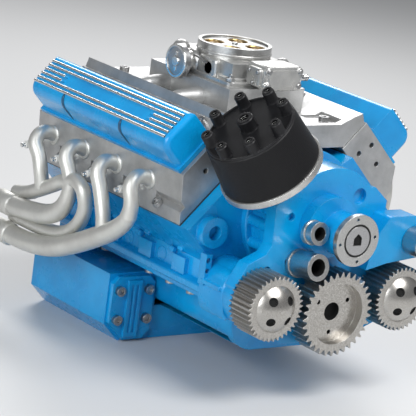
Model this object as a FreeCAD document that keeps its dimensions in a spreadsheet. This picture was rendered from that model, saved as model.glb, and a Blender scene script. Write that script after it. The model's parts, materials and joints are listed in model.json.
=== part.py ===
"""Miniature overhead-valve V8 engine, built piece by piece as a parametric document.

Frame: +X is right seen from the front, +Y runs to the rear, +Z is up. The origin is on the crank axis,
at the rear face of the flywheel. "left" and "right" name the sides seen from the front.
Sizes are millimetres. Each bank is built upright, its cylinder axes along +Z, and then turned by the
bank angle about the crank axis.
"""
import FreeCAD
import Part
import Sketcher

import math
import os
import re

SIZES = {
    # cylinders, crank train and block
    "bank_angle": 45, "bore": 20, "bore_pitch": 24.5, "stroke": 17.5, "rod_length": 40.3,
    "piston_crown": 9.4, "piston_skirt": 5, "piston_clearance": 0.05, "deck_gap": 0.1,
    "ring_height": 0.9, "ring_depth": 0.9, "wrist_pin_radius": 2.2, "rod_width": 5.2, "rod_gap": 0.2,
    "rod_shank_width": 4.2, "small_end_radius": 3.6, "big_end_radius": 6, "crankpin_radius": 3.5,
    "web_clearance": 0.25, "web_thickness": 3.7, "web_radius": 6, "counterweight_radius": 15.5,
    "main_radius": 4.5, "bearing_wall": 0.7, "shaft_clearance": 0.05, "main_gap": 0.3,
    "cap_width": 26, "cap_height": 9, "crankcase_radius": 24, "rail_drop": 1,
    "rail_half_width": 37.5, "rail_height": 11, "side_step": 4, "deck_outboard": 18.8, "deck_inboard": 21,
    "valley_half_width": 16, "valley_height": 51, "block_lip": 6, "rear_lip": 2,
    "flange_radius": 9, "flange_thickness": 3, "flange_gap": 0.4, "flywheel_radius": 30,
         "flywheel_thickness": 8,
    "clutch_circle": 23, "clutch_hole_radius": 1.25, "flywheel_bolt_circle": 6,
    "ear_offset": 44, "ear_height": 27.5, "ear_radius": 6.5, "ear_hole_radius": 3, "ear_thickness": 4,
    # heads and covers
    "gasket_thickness": 0.8, "head_length": 109, "head_height": 15.8, "head_inboard": 23.3,
    "head_top_outboard": 4.8, "chamber_radius": 9.8, "chamber_depth": 2.6, "valve_spread": 5.2,
    "valve_head_radius": 3.9, "valve_stem_radius": 1.2, "valve_offset": 2, "rocker_offset": 7.5,
    "pushrod_offset": 11.4, "rocker_height": 6.6, "rocker_width": 3, "rocker_thickness": 2.6,
    "rocker_shaft_radius": 1.5, "spring_radius": 2.5, "spring_wire": 0.5, "pushrod_radius": 1,
    "lifter_radius": 2.5, "lifter_length": 9, "port_height": 10, "port_radius": 3.2, "port_shift": 3,
    "ledge_height": 4, "ledge_depth": 6.5, "ledge_width": 6, "bolt_lead": 5.5, "plug_trail": 13,
    "plug_height": 5, "plug_depth": 4, "plug_radius": 2,
    "cover_margin": 2.1, "cover_inboard": 16.6, "cover_height": 16, "cover_wall": 1.6,
    "cover_flange": 2, "cover_round": 5.5, "cover_rib_width": 0.9, "cover_rib_height": 0.5,
    "cover_rib_pitch": 2.35, "cover_rib_short": 21,
    # camshaft and timing gear train
    "cam_journal_radius": 5.5, "cam_core_radius": 3.4, "lobe_radius": 3.7, "lobe_lift": 0.9,
    "lobe_width": 3, "timing_module": 1, "pinion_teeth": 22, "timing_gear_width": 5,
    "timing_gear_gap": 3, "case_wall": 2.2, "case_clearance": 0.6, "case_depth": 16, "plate_thickness": 6.5,
    "skew_radius": 3.6, "skew_gap": 0.4, "skew_width": 5,
    # front drive
    "crank_gear_module": 1, "crank_gear_teeth": 34, "crank_gear_width": 10, "crank_gear_front": 41.7,
    "crank_gear_recess": 13, "crank_gear_recess_depth": 4, "crank_gear_bore": 3.9,
    "crank_gear_hole_circle": 8.9, "crank_gear_hole": 1,
    "wheel_offset": 33.4, "wheel_height": 4.5, "wheel_teeth": 37, "wheel_module": 0.708,
    "wheel_width": 13.3, "wheel_front": 42.2, "wheel_cap_radius": 9.8, "wheel_cap_height": 5,
    "wheel_shaft_radius": 3, "wheel_housing_radius": 12.3, "wheel_seat": 1.5, "hub_hole_radius": 1.5,
         "tab_hole_radius": 1.1,
    "bracket_depth": 10, "roller_offset": 38, "roller_height": 29, "roller_radius": 6.2,
    "roller_length": 8.5, "roller_shaft_radius": 2,
    # water pump and pipes
    "pump_body_radius": 9.2, "pump_front": 47.3, "pump_ring_radius": 10.9, "pump_ring_thickness": 2.4,
    "pump_seal_radius": 7, "pump_seal_wall": 0.8, "pump_hub_radius": 6.1, "pump_shaft_radius": 2.2,
    "volute_radius": 12.8, "volute_shift": 3, "volute_rise": 2, "volute_depth": 6, "impeller_radius": 6.5,
    "pump_bolt_circle": 9, "pump_hole_radius": 0.7,
    "upper_pipe_radius": 4.8, "upper_pipe_bore": 2.9, "upper_pipe_length": 7, "upper_pipe_offset": 14.6,
    "upper_pipe_height": 33.7, "lower_pipe_radius": 5.6, "lower_pipe_bore": 3.7,
    "lower_pipe_length": 15.2, "lower_pipe_offset": 14.6, "lower_pipe_height": 18.9,
    "pipe_collar_rise": 0.4, "pipe_collar_length": 2.8, "pipe_tilt": 8,
    # distributor
    "distributor_tilt": 39, "distributor_front": 22.6, "cap_seat": 39.1, "cap_radius": 21.2,
    "cap_top_radius": 19.5, "cap_tall": 21, "cap_wall": 2, "base_ring_radius": 22,
         "base_ring_thickness": 2.8,
    "distributor_stem_radius": 3.4, "distributor_shaft_radius": 1.6, "tower_circle": 16.5,
    "tower_radius": 2.1, "tower_height": 5.9, "centre_tower_radius": 3.2, "distributor_boss_radius": 5.8,
    "distributor_boss_length": 27,
    # intake manifold and carburettor
    "manifold_floor": 60, "manifold_top": 72, "manifold_wall": 3, "manifold_pad_half": 20,
    "manifold_pad_front": 24, "manifold_pad_length": 58, "carb_base": 79, "carb_centre": 50.5,
    "carb_body_half": 15, "carb_body_height": 9.4, "carb_body_length": 40, "throttle_bore": 4.6,
    "throttle_spread": 6.4, "throttle_shaft_radius": 1, "throttle_disc_radius": 7.4,
    "throttle_disc_thickness": 2.6, "throttle_disc_offset": 24, "air_horn_radius": 16,
    "air_horn_height": 5, "bowl_width": 20, "bowl_length": 13, "bowl_height": 10.5, "bowl_shift": 3,
    # headers
    "tube_radius": 3.2, "run_radius": 4.4, "tube_wall": 0.7, "header_reach": 66, "header_rear": 112,
         "outlet_depth": 18,
    # oil pan
    "pan_gasket": 0.6, "pan_flange": 2.6, "pan_wall": 2, "trough_half_width": 25.6, "trough_depth": 26,
    "trough_round": 12, "sump_start": 51.9, "sump_length": 58.8, "sump_half_width": 49.2,
    "sump_top": 8.2, "sump_depth": 38.8, "sump_chamfer": 8, "sump_cover_width": 22,
    "sump_cover_height": 28.5, "sump_cover_thickness": 2.6, "bolt_radius": 1.2, "bolt_head": 2.2,
         "bolt_rise": 2,
}

doc = FreeCAD.newDocument("V8Engine")
sheet = doc.addObject("Spreadsheet::Sheet", "Sizes")
for row, (alias, number) in enumerate(SIZES.items(), 1):
    sheet.set(f"A{row}", alias)
    sheet.set(f"B{row}", str(number))
    sheet.setAlias(f"B{row}", alias)
doc.recompute()

nodes = {}
axes = {
    "X": (FreeCAD.Vector(0, 1, 0), 90),
    "Y": (FreeCAD.Vector(1, 0, 0), -90),
    "Z": (FreeCAD.Vector(0, 0, 1), 0),
}


def bound(text):
    """The text as a FreeCAD expression, each size's name pointing at its cell."""
    return re.sub(r"[A-Za-z_]\w*", lambda word: "Sizes."
                  + word.group() if word.group() in SIZES else word.group(),
                  str(text))


def value(text):
    """The present value of an expression."""
    answer = sheet.evalExpression(bound(text))
    return float(getattr(answer, "Value", answer))


def tie(thing, prop, text):
    thing.setExpression(prop, bound(text))


def move(thing, place):
    for letter, text in zip("xyz", place):
        tie(thing, f"Placement.Base.{letter}", text)
    return thing


def turn(thing, axis, angle):
    """Turns a shape about an axis through its own placement's base."""
    thing.Placement.Rotation = FreeCAD.Rotation(FreeCAD.Vector(*axis), value(angle) or 1)
    tie(thing, "Placement.Rotation.Angle", angle)
    return thing


def point_along(thing, along):
    thing.Placement.Rotation = FreeCAD.Rotation(*axes[along])
    return thing


def box(name, low, high):
    thing = doc.addObject("Part::Box", name)
    for prop, a, b in zip(("Length", "Width", "Height"), low, high):
        tie(thing, prop, f"({b}) - ({a})")
    return move(thing, low)


def cylinder(name, radius, length, start, along="Z", angle=None):
    thing = doc.addObject("Part::Cylinder", name)
    tie(thing, "Radius", radius)
    tie(thing, "Height", length)
    if angle:
        tie(thing, "Angle", angle)
    return move(point_along(thing, along), start)


def sketch_points(body, name, plane, points):
    sketch = body.newObject("Sketcher::SketchObject", name)
    sketch.AttachmentSupport = (next(f for f in body.Origin.OriginFeatures if f.Role == plane), [""])
    sketch.MapMode = "FlatFace"
    corners = [FreeCAD.Vector(value(x), value(y), 0) for x, y in points]
    count = len(points)
    for i in range(count):
        sketch.addGeometry(Part.LineSegment(corners[i], corners[(i + 1) % count]), False)
    for i in range(count):
        sketch.addConstraint(Sketcher.Constraint("Coincident", i, 2, (i + 1) % count, 1))
    for i, texts in enumerate(points):
        for kind, text, number in zip(("DistanceX", "DistanceY"), texts, corners[i]):
            index = sketch.addConstraint(Sketcher.Constraint(kind, -1, 1, i, 1, number))
            tie(sketch, f"Constraints[{index}]", text)
    return sketch


def prism(name, points, low, high):
    """A front-view outline (x, z) padded from y = low to y = high."""
    body = doc.addObject("PartDesign::Body", name)
    pad = body.newObject("PartDesign::Pad", name + "_pad")
    pad.Profile = sketch_points(body, name + "_sketch", "XZ_Plane", points)
    tie(pad, "Length", f"({high}) - ({low})")
    pad.Reversed = True
    body.Tip = pad
    return move(body, ("0", low, "0"))


def turned(name, points, start, along="Y"):
    """A half profile (radius, distance along the axis) revolved about its axis."""
    body = doc.addObject("PartDesign::Body", name)
    sketch = sketch_points(body, name + "_sketch", "XZ_Plane", points)
    turning = body.newObject("PartDesign::Revolution", name + "_turning")
    turning.Profile = sketch
    turning.ReferenceAxis = (sketch, ["V_Axis"])
    turning.Angle = 360
    body.Tip = turning
    return move(point_along(body, along), start)


def soften(body, radius, wanted):
    """Rounds the edges of a body for which wanted(edge) holds."""
    doc.recompute()
    base = body.Tip
    names = [f"Edge{i}" for i, edge in enumerate(base.Shape.Edges, 1) if wanted(edge)]
    fillet = body.newObject("PartDesign::Fillet", body.Name + "_round")
    fillet.Base = (base, names)
    tie(fillet, "Radius", radius)
    body.Tip = fillet
    return body


def runs_along(letter, test=None):
    """An edge test: straight, parallel to an axis of the body, and passing the test at its middle."""
    def check(edge):
        if edge.Curve.TypeId != "Part::GeomLine":
            return False
        lean = abs(getattr(edge.Curve.Direction, letter))
        return lean > 0.999 and (test is None or test(edge.CenterOfMass))
    return check


def fuse(name, *shapes):
    thing = doc.addObject("Part::MultiFuse", name)
    thing.Shapes = list(shapes)
    return thing


def cut(name, base, *tools):
    thing = doc.addObject("Part::Cut", name)
    thing.Base = base
    thing.Tool = tools[0] if len(tools) == 1 else fuse(name + "_tools", *tools)
    return thing


def group(name, *shapes):
    thing = doc.addObject("Part::Compound", name)
    thing.Links = list(shapes)
    return thing


def piece(label, *shapes):
    """Registers a sub-part: one shape, or a group of separate solids."""
    thing = shapes[0] if len(shapes) == 1 else group(label, *shapes)
    thing.Label = label
    nodes[label] = thing
    return thing


def mirrored_span(side, near, far):
    """The low and high X of a stretch given by its distances outboard on one side."""
    return (near, far) if side > 0 else (f"-({far})", f"-({near})")


def on_bank(thing, side):
    return turn(thing, (0, 1, 0), f"{side} * bank_angle")


def toothed(name, teeth, module, width, start, phase=0.0, tall=0.7, narrow=0.42):
    """A straight-toothed gear blank along Y: trapezium teeth about the pitch circle."""
    count = int(round(value(teeth)))
    size = value(module)
    pitch_radius = count * size / 2
    tip = pitch_radius + tall * size
    root = pitch_radius - 1.1 * size
    step = 2 * math.pi / count
    half_tip = step * (narrow / 2 - 0.13)
    half_root = step * (narrow / 2 + 0.14)
    corners = []
    for i in range(count):
        middle = i * step + phase * step
        for radius, offset in ((root, -half_root), (tip, -half_tip), (tip, half_tip), (root, half_root)):
            angle = middle + offset
            corners.append(FreeCAD.Vector(radius * math.sin(angle), 0, radius * math.cos(angle)))
    face = Part.Face(Part.makePolygon(corners + corners[:1]))
    thing = doc.addObject("Part::Feature", name)
    thing.Shape = face.extrude(FreeCAD.Vector(0, value(width), 0))
    return move(thing, start)


# ---- shared distances ------------------------------------------------------------------------------------
FRONT = "(-(head_length + rear_lip + flange_thickness + flywheel_thickness))"
MIDDLE = f"({FRONT} + head_length / 2)"
BLOCK_FRONT = f"({FRONT} - block_lip)"
BLOCK_REAR = f"({FRONT} + head_length + rear_lip)"
DECK = "(stroke / 2 + rod_length + piston_crown + deck_gap)"
HEAD_BASE = f"({DECK} + gasket_thickness)"
HEAD_TOP = f"({HEAD_BASE} + head_height)"
WEB_INNER = "(rod_width + rod_gap / 2 + web_clearance)"
MAIN_LENGTH = f"(bore_pitch - 2 * ({WEB_INNER} + web_thickness))"
BULKHEAD = f"({MAIN_LENGTH} - 2 * main_gap)"
BEARING_RADIUS = "(main_radius + shaft_clearance + bearing_wall)"
CAM_HEIGHT = "(timing_module * pinion_teeth * 3 / 2)"
CAM_GEAR_TIP = "(timing_module * (pinion_teeth + 0.7))"
CASE_RADIUS = f"({CAM_GEAR_TIP} + case_clearance + case_wall)"
CASE_FRONT = f"({BLOCK_FRONT} - case_depth)"
PLATE_FRONT = f"({CASE_FRONT} - plate_thickness)"
RAIL = "(-rail_drop)"
PAN_TOP = "(-(rail_drop + pan_gasket))"
THROWS = range(4)
MAINS = range(5)
SIDES = (("left", -1), ("right", 1))
PIN_ANGLES = (-1, 1, -3, 3)


def throw_y(i):
    return f"({MIDDLE} + ({i} - 1.5) * bore_pitch)"


def main_y(j):
    return f"({MIDDLE} + ({j} - 2) * bore_pitch)"


def cylinder_y(side, i):
    return f"({throw_y(i)} - {side} * (rod_width + rod_gap) / 2)"


# ---- engine block ----------------------------------------------------------------------------------------
def bank_point(side, along, inboard):
    """The x and z of a point given along a bank's cylinder axis and inboard from it."""
    x = f"{side} * (({along}) * sin(bank_angle) - ({inboard}) * cos(bank_angle))"
    z = f"({along}) * cos(bank_angle) + ({inboard}) * sin(bank_angle)"
    return x, z


def build_block():
    right = [("rail_half_width", RAIL), ("rail_half_width", "rail_height"),
             ("rail_half_width + side_step", "rail_height + side_step"),
             bank_point(1, DECK, "-deck_outboard"), bank_point(1, DECK, "deck_inboard"),
             ("valley_half_width", "valley_height")]
    left = [(f"-({x})", z) for x, z in reversed(right)]
    body = prism("block_outline", right + left, BLOCK_FRONT, BLOCK_REAR)
    additions = [body]
    for name, side in SIDES:
        additions.append(cylinder(f"ear_{name}", "ear_radius", "ear_thickness + 1",
                                  (f"{side} * ear_offset", f"{BLOCK_FRONT} - ear_thickness", "ear_height"),
                                  "Y"))
        low, high = mirrored_span(side, "rail_half_width - 1", "rail_half_width + 2.2")
        for i in THROWS:
            additions.append(box(f"side_pad_{name}_{i}", (low, f"{throw_y(i)} - 4.5", "2.5"),
                                 (high, f"{throw_y(i)} + 4.5", "9.5")))
    tools = [cylinder("main_tunnel", BEARING_RADIUS, f"{BLOCK_REAR} - {BLOCK_FRONT} + 2",
                      ("0", f"{BLOCK_FRONT} - 1", "0"), "Y"),
             cylinder("cam_tunnel", "cam_journal_radius + shaft_clearance",
                      f"{BLOCK_REAR} - {BLOCK_FRONT} - 2",
                      ("0", f"{BLOCK_FRONT} - 1", CAM_HEIGHT), "Y"),
             box("cap_opening", ("-crankcase_radius", f"{main_y(0)} - {BULKHEAD} / 2", "-rail_drop - 1"),
                 ("crankcase_radius", f"{main_y(4)} + {BULKHEAD} / 2", "0"))]
    for i in THROWS:
        tools.append(cylinder(f"bay_{i}", "crankcase_radius", f"bore_pitch - {BULKHEAD}",
                              ("0", f"{throw_y(i)} - (bore_pitch - {BULKHEAD}) / 2", "0"), "Y"))
        for name, side in SIDES:
            bore = cylinder(f"bore_{name}_{i}", "bore / 2", f"{DECK} - crankcase_radius + 3",
                            ("0", "0", "crankcase_radius - 2"))
            tools.append(move(on_bank(group(f"bore_seat_{name}_{i}", bore), side),
                              ("0", cylinder_y(side, i), "0")))
    for name, side in SIDES:
        tools.append(cylinder(f"ear_hole_{name}", "ear_hole_radius", "ear_thickness + 8",
                              (f"{side} * ear_offset", f"{BLOCK_FRONT} - ear_thickness - 1", "ear_height"),
                              "Y"))
        tools.append(on_bank(group(f"tappet_holes_{name}", *tappet_holes(name, side)), side))
    piece("engine_block", cut("engine_block", fuse("block_mass", *additions), *tools))


def valve_y(side, i, which):
    return f"({cylinder_y(side, i)} + {which} * valve_spread)"


PUSH_TOP = f"({HEAD_TOP} + rocker_height - rocker_thickness / 2)"
CAM_OUT = f"({CAM_HEIGHT} * sin(bank_angle))"
PUSH_ANGLE = f"atan(({CAM_OUT} - pushrod_offset) / ({PUSH_TOP} - {CAM_OUT}))"
PUSH_LENGTH = f"sqrt(({CAM_OUT} - pushrod_offset)^2 + ({PUSH_TOP} - {CAM_OUT})^2)"
VALVES = (-1, 1)


def push_line(name, side, i, which, radius, near, far):
    """A cylinder on the line from the camshaft to one rocker, in the upright bank's frame."""
    thing = cylinder(name, radius, f"({far}) - ({near})", ("0", "0", "0"))
    turn(thing, (0, 1, 0), f"{side} * {PUSH_ANGLE}")
    return move(thing, (f"{side} * (({near}) * sin({PUSH_ANGLE}) - {CAM_OUT})", valve_y(side, i, which),
                        f"{CAM_OUT} + ({near}) * cos({PUSH_ANGLE})"))


LIFTER_FOOT = "(cam_journal_radius + 0.1)"
LIFTER_TOP = f"({LIFTER_FOOT} + lifter_length)"


def tappet_holes(name, side):
    holes = []
    for i in THROWS:
        for which in VALVES:
            tag = f"{name}_{i}_{which + 1}"
            holes.append(push_line(f"lifter_bore_{tag}", side, i, which, "lifter_radius + shaft_clearance",
                                   "2", f"{LIFTER_TOP} + 3"))
            holes.append(push_line(f"pushrod_bore_{tag}", side, i, which, "pushrod_radius + 0.6",
                                   f"{LIFTER_TOP} + 2", PUSH_LENGTH))
    return holes


# ---- crankshaft and mains --------------------------------------------------------------------------------
def build_crankshaft():
    parts = []
    for j in MAINS:
        parts.append(cylinder(f"main_journal_{j}", "main_radius", MAIN_LENGTH,
                              ("0", f"{main_y(j)} - {MAIN_LENGTH} / 2", "0"), "Y"))
    for i, quarter in zip(THROWS, PIN_ANGLES):
        for end in (-1, 1):
            tag = f"{i}_{end + 1}"
            low = f"{WEB_INNER}" if end > 0 else f"-({WEB_INNER} + web_thickness)"
            high = f"{WEB_INNER} + web_thickness" if end > 0 else f"-{WEB_INNER}"
            cheek = box(f"cheek_{tag}", ("-web_radius", low, "0"), ("web_radius", high, "stroke / 2"))
            eye = cylinder(f"pin_eye_{tag}", "web_radius", "web_thickness", ("0", low, "stroke / 2"), "Y")
            hub = cylinder(f"web_hub_{tag}", "web_radius + 1", "web_thickness", ("0", low, "0"), "Y")
            weight = cylinder(f"counterweight_{tag}", "counterweight_radius", "web_thickness",
                              ("0", low, "0"),
                              "Y", "150")
            weight.Placement.Rotation = FreeCAD.Rotation(FreeCAD.Vector(1, 0, 0), -90).multiply(
                FreeCAD.Rotation(FreeCAD.Vector(0, 0, 1), 15))
            web = fuse(f"web_{tag}", cheek, eye, hub, weight)
            turn(web, (0, 1, 0), f"{quarter} * bank_angle")
            parts.append(move(web, ("0", throw_y(i), "0")))
    nose_start = f"{FRONT} - crank_gear_front + crank_gear_recess_depth + 3"
    parts.append(cylinder("crank_nose", "crank_gear_bore", f"{BLOCK_FRONT} - ({nose_start})",
                          ("0", nose_start, "0"), "Y"))
    parts.append(cylinder("crank_lead", "main_radius", f"{main_y(0)} - {BLOCK_FRONT}",
                          ("0", BLOCK_FRONT, "0"), "Y"))
    parts.append(cylinder("crank_tail", "main_radius", f"{BLOCK_REAR} + flange_gap - {main_y(4)}",
                          ("0", main_y(4), "0"), "Y"))
    parts.append(cylinder("crank_flange", "flange_radius", "flange_thickness - flange_gap",
                          ("0", f"{BLOCK_REAR} + flange_gap", "0"), "Y"))
    piece("crankshaft", fuse("crankshaft", *parts))


def build_mains():
    caps, shells, screws = [], [], []
    for j in MAINS:
        low, high = f"{main_y(j)} - {BULKHEAD} / 2", f"{main_y(j)} + {BULKHEAD} / 2"
        cap = box(f"cap_block_{j}", ("-cap_width / 2", low, "-cap_height"), ("cap_width / 2", high, "0"))
        tunnel = cylinder(f"cap_tunnel_{j}", BEARING_RADIUS, f"{BULKHEAD} + 2", ("0", f"{low} - 1", "0"),
                          "Y")
        caps.append(cut(f"main_cap_{j}", cap, tunnel))
        for half in (0, 1):
            outer = cylinder(f"shell_{j}_{half}", BEARING_RADIUS, BULKHEAD, ("0", low, "0"), "Y", "180")
            outer.Placement.Rotation = FreeCAD.Rotation(FreeCAD.Vector(1, 0, 0), -90).multiply(
                FreeCAD.Rotation(FreeCAD.Vector(0, 0, 1), 180 * half))
            inner = cylinder(f"shell_bore_{j}_{half}", "main_radius + shaft_clearance", f"{BULKHEAD} + 2",
                             ("0", f"{low} - 1", "0"), "Y")
            shells.append(cut(f"main_shell_{j}_{half}", outer, inner))
        for side in (-1, 1):
            screws.append(cylinder(f"cap_bolt_{j}_{side + 1}", "bolt_head", "bolt_rise",
                                   (f"{side} * (cap_width / 2 - bolt_head - 1)", main_y(j),
                                    "-cap_height - bolt_rise")))
    piece("main_bearing_caps", *caps)
    piece("main_bearing_shells", *shells)
    return screws


def build_flywheel():
    disc = cylinder("flywheel_disc", "flywheel_radius", "flywheel_thickness",
                    ("0", "-flywheel_thickness", "0"), "Y")
    tools = []
    for k in range(6):
        x, z = f"cos({60 * k})", f"sin({60 * k})"
        tools.append(cylinder(f"clutch_hole_{k}", "clutch_hole_radius", "flywheel_thickness + 2",
                              (f"clutch_circle * {x}", "-flywheel_thickness - 1", f"clutch_circle * {z}"),
                              "Y"))
    tools.append(cylinder("flywheel_dish", "clutch_circle - 6", "3", ("0", "-3", "0"), "Y"))
    heads = [cylinder(f"flywheel_bolt_{k}", "bolt_radius", "2",
                      (f"flywheel_bolt_circle * cos({60 * k})", "-3",
                      f"flywheel_bolt_circle * sin({60 * k})"), "Y") for k in range(6)]
    piece("flywheel", cut("flywheel", disc, *tools))
    piece("flywheel_bolts", *heads)


# ---- pistons and rods ------------------------------------------------------------------------------------
def build_piston_set(number, side, i):
    """One piston with rings, wrist pin, rod, rod cap and its half of the crankpin, at its rest stroke."""
    swing = f"({PIN_ANGLES[i]} * bank_angle - {side} * bank_angle)"
    tag = f"{number}"
    pin_up = f"(stroke / 2 * cos({swing}))"
    pin_out = f"(stroke / 2 * sin({swing}))"
    wrist = f"({pin_up} + sqrt(rod_length^2 - ({pin_out})^2))"
    lean = f"(-asin({pin_out} / rod_length))"
    crown = f"{wrist} + piston_crown"
    piston = cylinder(f"piston_skin_{tag}", "bore / 2 - piston_clearance", "piston_crown + piston_skirt",
                      ("0", "0", f"{wrist} - piston_skirt"))
    hollow = cylinder(f"piston_hollow_{tag}", "bore / 2 - 2", "piston_skirt + small_end_radius + 1.4",
                      ("0", "0", f"{wrist} - piston_skirt - 1"))
    pin_hole = cylinder(f"piston_pin_hole_{tag}", "wrist_pin_radius", "bore", ("0", "-bore / 2", wrist),
                        "Y")
    boss = box(f"piston_boss_{tag}", ("-small_end_radius", "-bore / 2 + 1.5",
                                      f"{wrist} - small_end_radius"),
               ("small_end_radius", "bore / 2 - 1.5", f"{wrist} + small_end_radius + 1"))
    slot = box(f"piston_slot_{tag}", ("-bore / 2 + 1.9", "-rod_width / 2 - 0.3", f"{wrist} - bore"),
               ("bore / 2 - 1.9", "rod_width / 2 + 0.3", f"{wrist} + small_end_radius + 0.4"))
    shell = cut(f"piston_shell_{tag}", piston, hollow)
    grooves, rings = [], []
    for k in (0, 1):
        low = f"{crown} - 1.4 - {k} * 2.2 - ring_height"
        groove = cylinder(f"groove_{tag}_{k}", "bore / 2 + 1", "ring_height", ("0", "0", low))
        core = cylinder(f"groove_core_{tag}_{k}", "bore / 2 - piston_clearance - ring_depth",
                        "ring_height", ("0", "0", low))
        grooves.append(cut(f"ring_groove_{tag}_{k}", groove, core))
        ring = cylinder(f"ring_{tag}_{k}", "bore / 2 - piston_clearance / 2", "ring_height",
                        ("0", "0", low))
        eye = cylinder(f"ring_eye_{tag}_{k}", "bore / 2 - piston_clearance - ring_depth", "ring_height",
                       ("0", "0", low))
        rings.append(cut(f"piston_ring_{tag}_{k}", ring, eye))
    bossed = fuse(f"piston_bossed_{tag}", shell, boss)
    finished = cut(f"piston_body_{tag}", bossed, slot, pin_hole, *grooves)
    pin = cylinder(f"wrist_pin_{tag}", "wrist_pin_radius", "bore - 3.4", ("0", "-bore / 2 + 1.7", wrist),
                   "Y")
    rod_parts = [box(f"rod_shank_{tag}", ("-rod_shank_width / 2", "-rod_width / 2",
                                          "crankpin_radius + 0.5"),
                     ("rod_shank_width / 2", "rod_width / 2", "rod_length - wrist_pin_radius - 0.5")),
                 cylinder(f"rod_top_{tag}", "small_end_radius", "rod_width",
                          ("0", "-rod_width / 2", "rod_length"), "Y"),
                 cylinder(f"rod_bottom_{tag}", "big_end_radius", "rod_width", ("0", "-rod_width / 2", "0"),
                          "Y")]
    holes = [cylinder(f"rod_pin_hole_{tag}", "wrist_pin_radius", "rod_width + 2",
                      ("0", "-rod_width / 2 - 1", "rod_length"), "Y"),
             cylinder(f"rod_crank_hole_{tag}", "crankpin_radius", "rod_width + 2",
                      ("0", "-rod_width / 2 - 1", "0"), "Y")]
    rod = cut(f"rod_{tag}", fuse(f"rod_mass_{tag}", *rod_parts), *holes)
    halves = [box(f"rod_half_{tag}_0", ("-bore", "-rod_width", "0"),
                  ("bore", "rod_width", "rod_length + bore")),
              box(f"rod_half_{tag}_1", ("-bore", "-rod_width", "-bore"), ("bore", "rod_width", "0"))]
    upper = doc.addObject("Part::Common", f"rod_upper_{tag}")
    upper.Base, upper.Tool = rod, halves[0]
    cap = doc.addObject("Part::Common", f"rod_cap_{tag}")
    cap.Base, cap.Tool = rod, halves[1]
    crankpin = cylinder(f"crankpin_{tag}", "crankpin_radius", "rod_width", ("0", "-rod_width / 2", "0"),
                        "Y")
    rod_group = group(f"rod_group_{tag}", upper, cap, crankpin)
    turn(rod_group, (0, 1, 0), lean)
    move(rod_group, (pin_out, "0", pin_up))
    whole = group(f"piston_set_{tag}", finished, *rings, pin, rod_group)
    on_bank(whole, side)
    piece(f"piston_and_rod_{number}", move(whole, ("0", cylinder_y(side, i), "0")))


# ---- cylinder heads --------------------------------------------------------------------------------------
def out(side, distance):
    return f"{side} * ({distance})"


def bank_prism(name, side, points, low, high):
    """An outline given by (distance outboard, height along the cylinder axis) in the upright bank."""
    corners = [(out(side, x), z) for x, z in points]
    if side < 0:
        corners.reverse()
    return prism(name, corners, low, high)


HEAD_REAR = f"({FRONT} + head_length)"
PORT_SLOPE = "((deck_outboard - head_top_outboard) / head_height)"
PLUG_LEAN = "atan(head_height / (deck_outboard - head_top_outboard))"


def build_head(name, side):
    outline = [("deck_outboard", HEAD_BASE), ("head_top_outboard", HEAD_TOP), ("-head_inboard", HEAD_TOP),
               ("-head_inboard", HEAD_BASE)]
    body = bank_prism(f"head_outline_{name}", side, outline, FRONT, HEAD_REAR)
    tools = []
    for i in THROWS:
        y = cylinder_y(side, i)
        tools.append(cylinder(f"chamber_{name}_{i}", "chamber_radius", "chamber_depth + 1",
                              ("0", y, f"{HEAD_BASE} - 1")))
        port = cylinder(f"exhaust_port_{name}_{i}", "port_radius - tube_wall", "9", ("0", "0", "0"))
        turn(port, (0, 1, 0), f"{side} * 45")
        tools.append(move(port, (out(side, f"deck_outboard - port_height * {PORT_SLOPE} - 6"),
                                 f"{y} + port_shift",
                                 f"{HEAD_BASE} + port_height - 6")))
        low, high = mirrored_span(side, "-head_inboard - 1", "-head_inboard + 7")
        tools.append(box(f"intake_port_{name}_{i}", (low, f"{y} - 3", f"{HEAD_BASE} + 4.5"),
                         (high, f"{y} + 3", f"{HEAD_BASE} + 10.5")))
        for which in VALVES:
            tag = f"{name}_{i}_{which + 1}"
            at = (out(side, "-valve_offset"), valve_y(side, i, which))
            tools.append(cylinder(f"guide_{tag}", "valve_stem_radius + shaft_clearance", "head_height + 2",
                                  (*at, f"{HEAD_BASE} - 1")))
            tools.append(push_line(f"push_passage_{tag}", side, i, which, "pushrod_radius + 0.6",
                                   "lifter_length", PUSH_LENGTH))
    for i in THROWS:
        low, high = mirrored_span(side, "deck_outboard - ledge_depth", "deck_outboard + 1")
        well_front = f"{FRONT} - 1" if i == 0 else f"{bolt_y(side, i)} - ledge_width / 2"
        tools.append(box(f"bolt_well_{name}_{i}", (low, well_front, f"{HEAD_BASE} + ledge_height"),
                         (high, f"{bolt_y(side, i)} + ledge_width / 2", f"{HEAD_TOP} - 3")))
        seat = cylinder(f"plug_seat_{name}_{i}", "plug_radius", "plug_depth + 3", ("0", "0", "0"))
        tools.append(at_plug(seat, side, i))
    for k, (across, up) in enumerate((("-15", "5"), ("-4", "9"), ("-13", "12"))):
        tools.append(cylinder(f"front_hole_{name}_{k}", "bolt_radius", "5",
                              (out(side, across), f"{FRONT} - 1",
                              f"{HEAD_BASE} + {up}"), "Y"))
    head = cut(f"head_{name}", body, *tools)
    piece(f"cylinder_head_{name}", on_bank(head, side))


def bolt_y(side, i):
    """A head bolt stands a little ahead of each cylinder."""
    return f"({cylinder_y(side, i)} - bolt_lead)"


def at_plug(thing, side, i):
    """Stands a shape built along +Z square to the sloping port face, its foot a plug's depth inside."""
    turn(thing, (0, 1, 0), f"{side} * {PLUG_LEAN}")
    foot = f"deck_outboard - plug_height * {PORT_SLOPE} - plug_depth * sin({PLUG_LEAN})"
    return move(thing, (out(side, foot), f"{cylinder_y(side, i)} + plug_trail",
                        f"{HEAD_BASE} + plug_height - plug_depth * cos({PLUG_LEAN})"))


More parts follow.
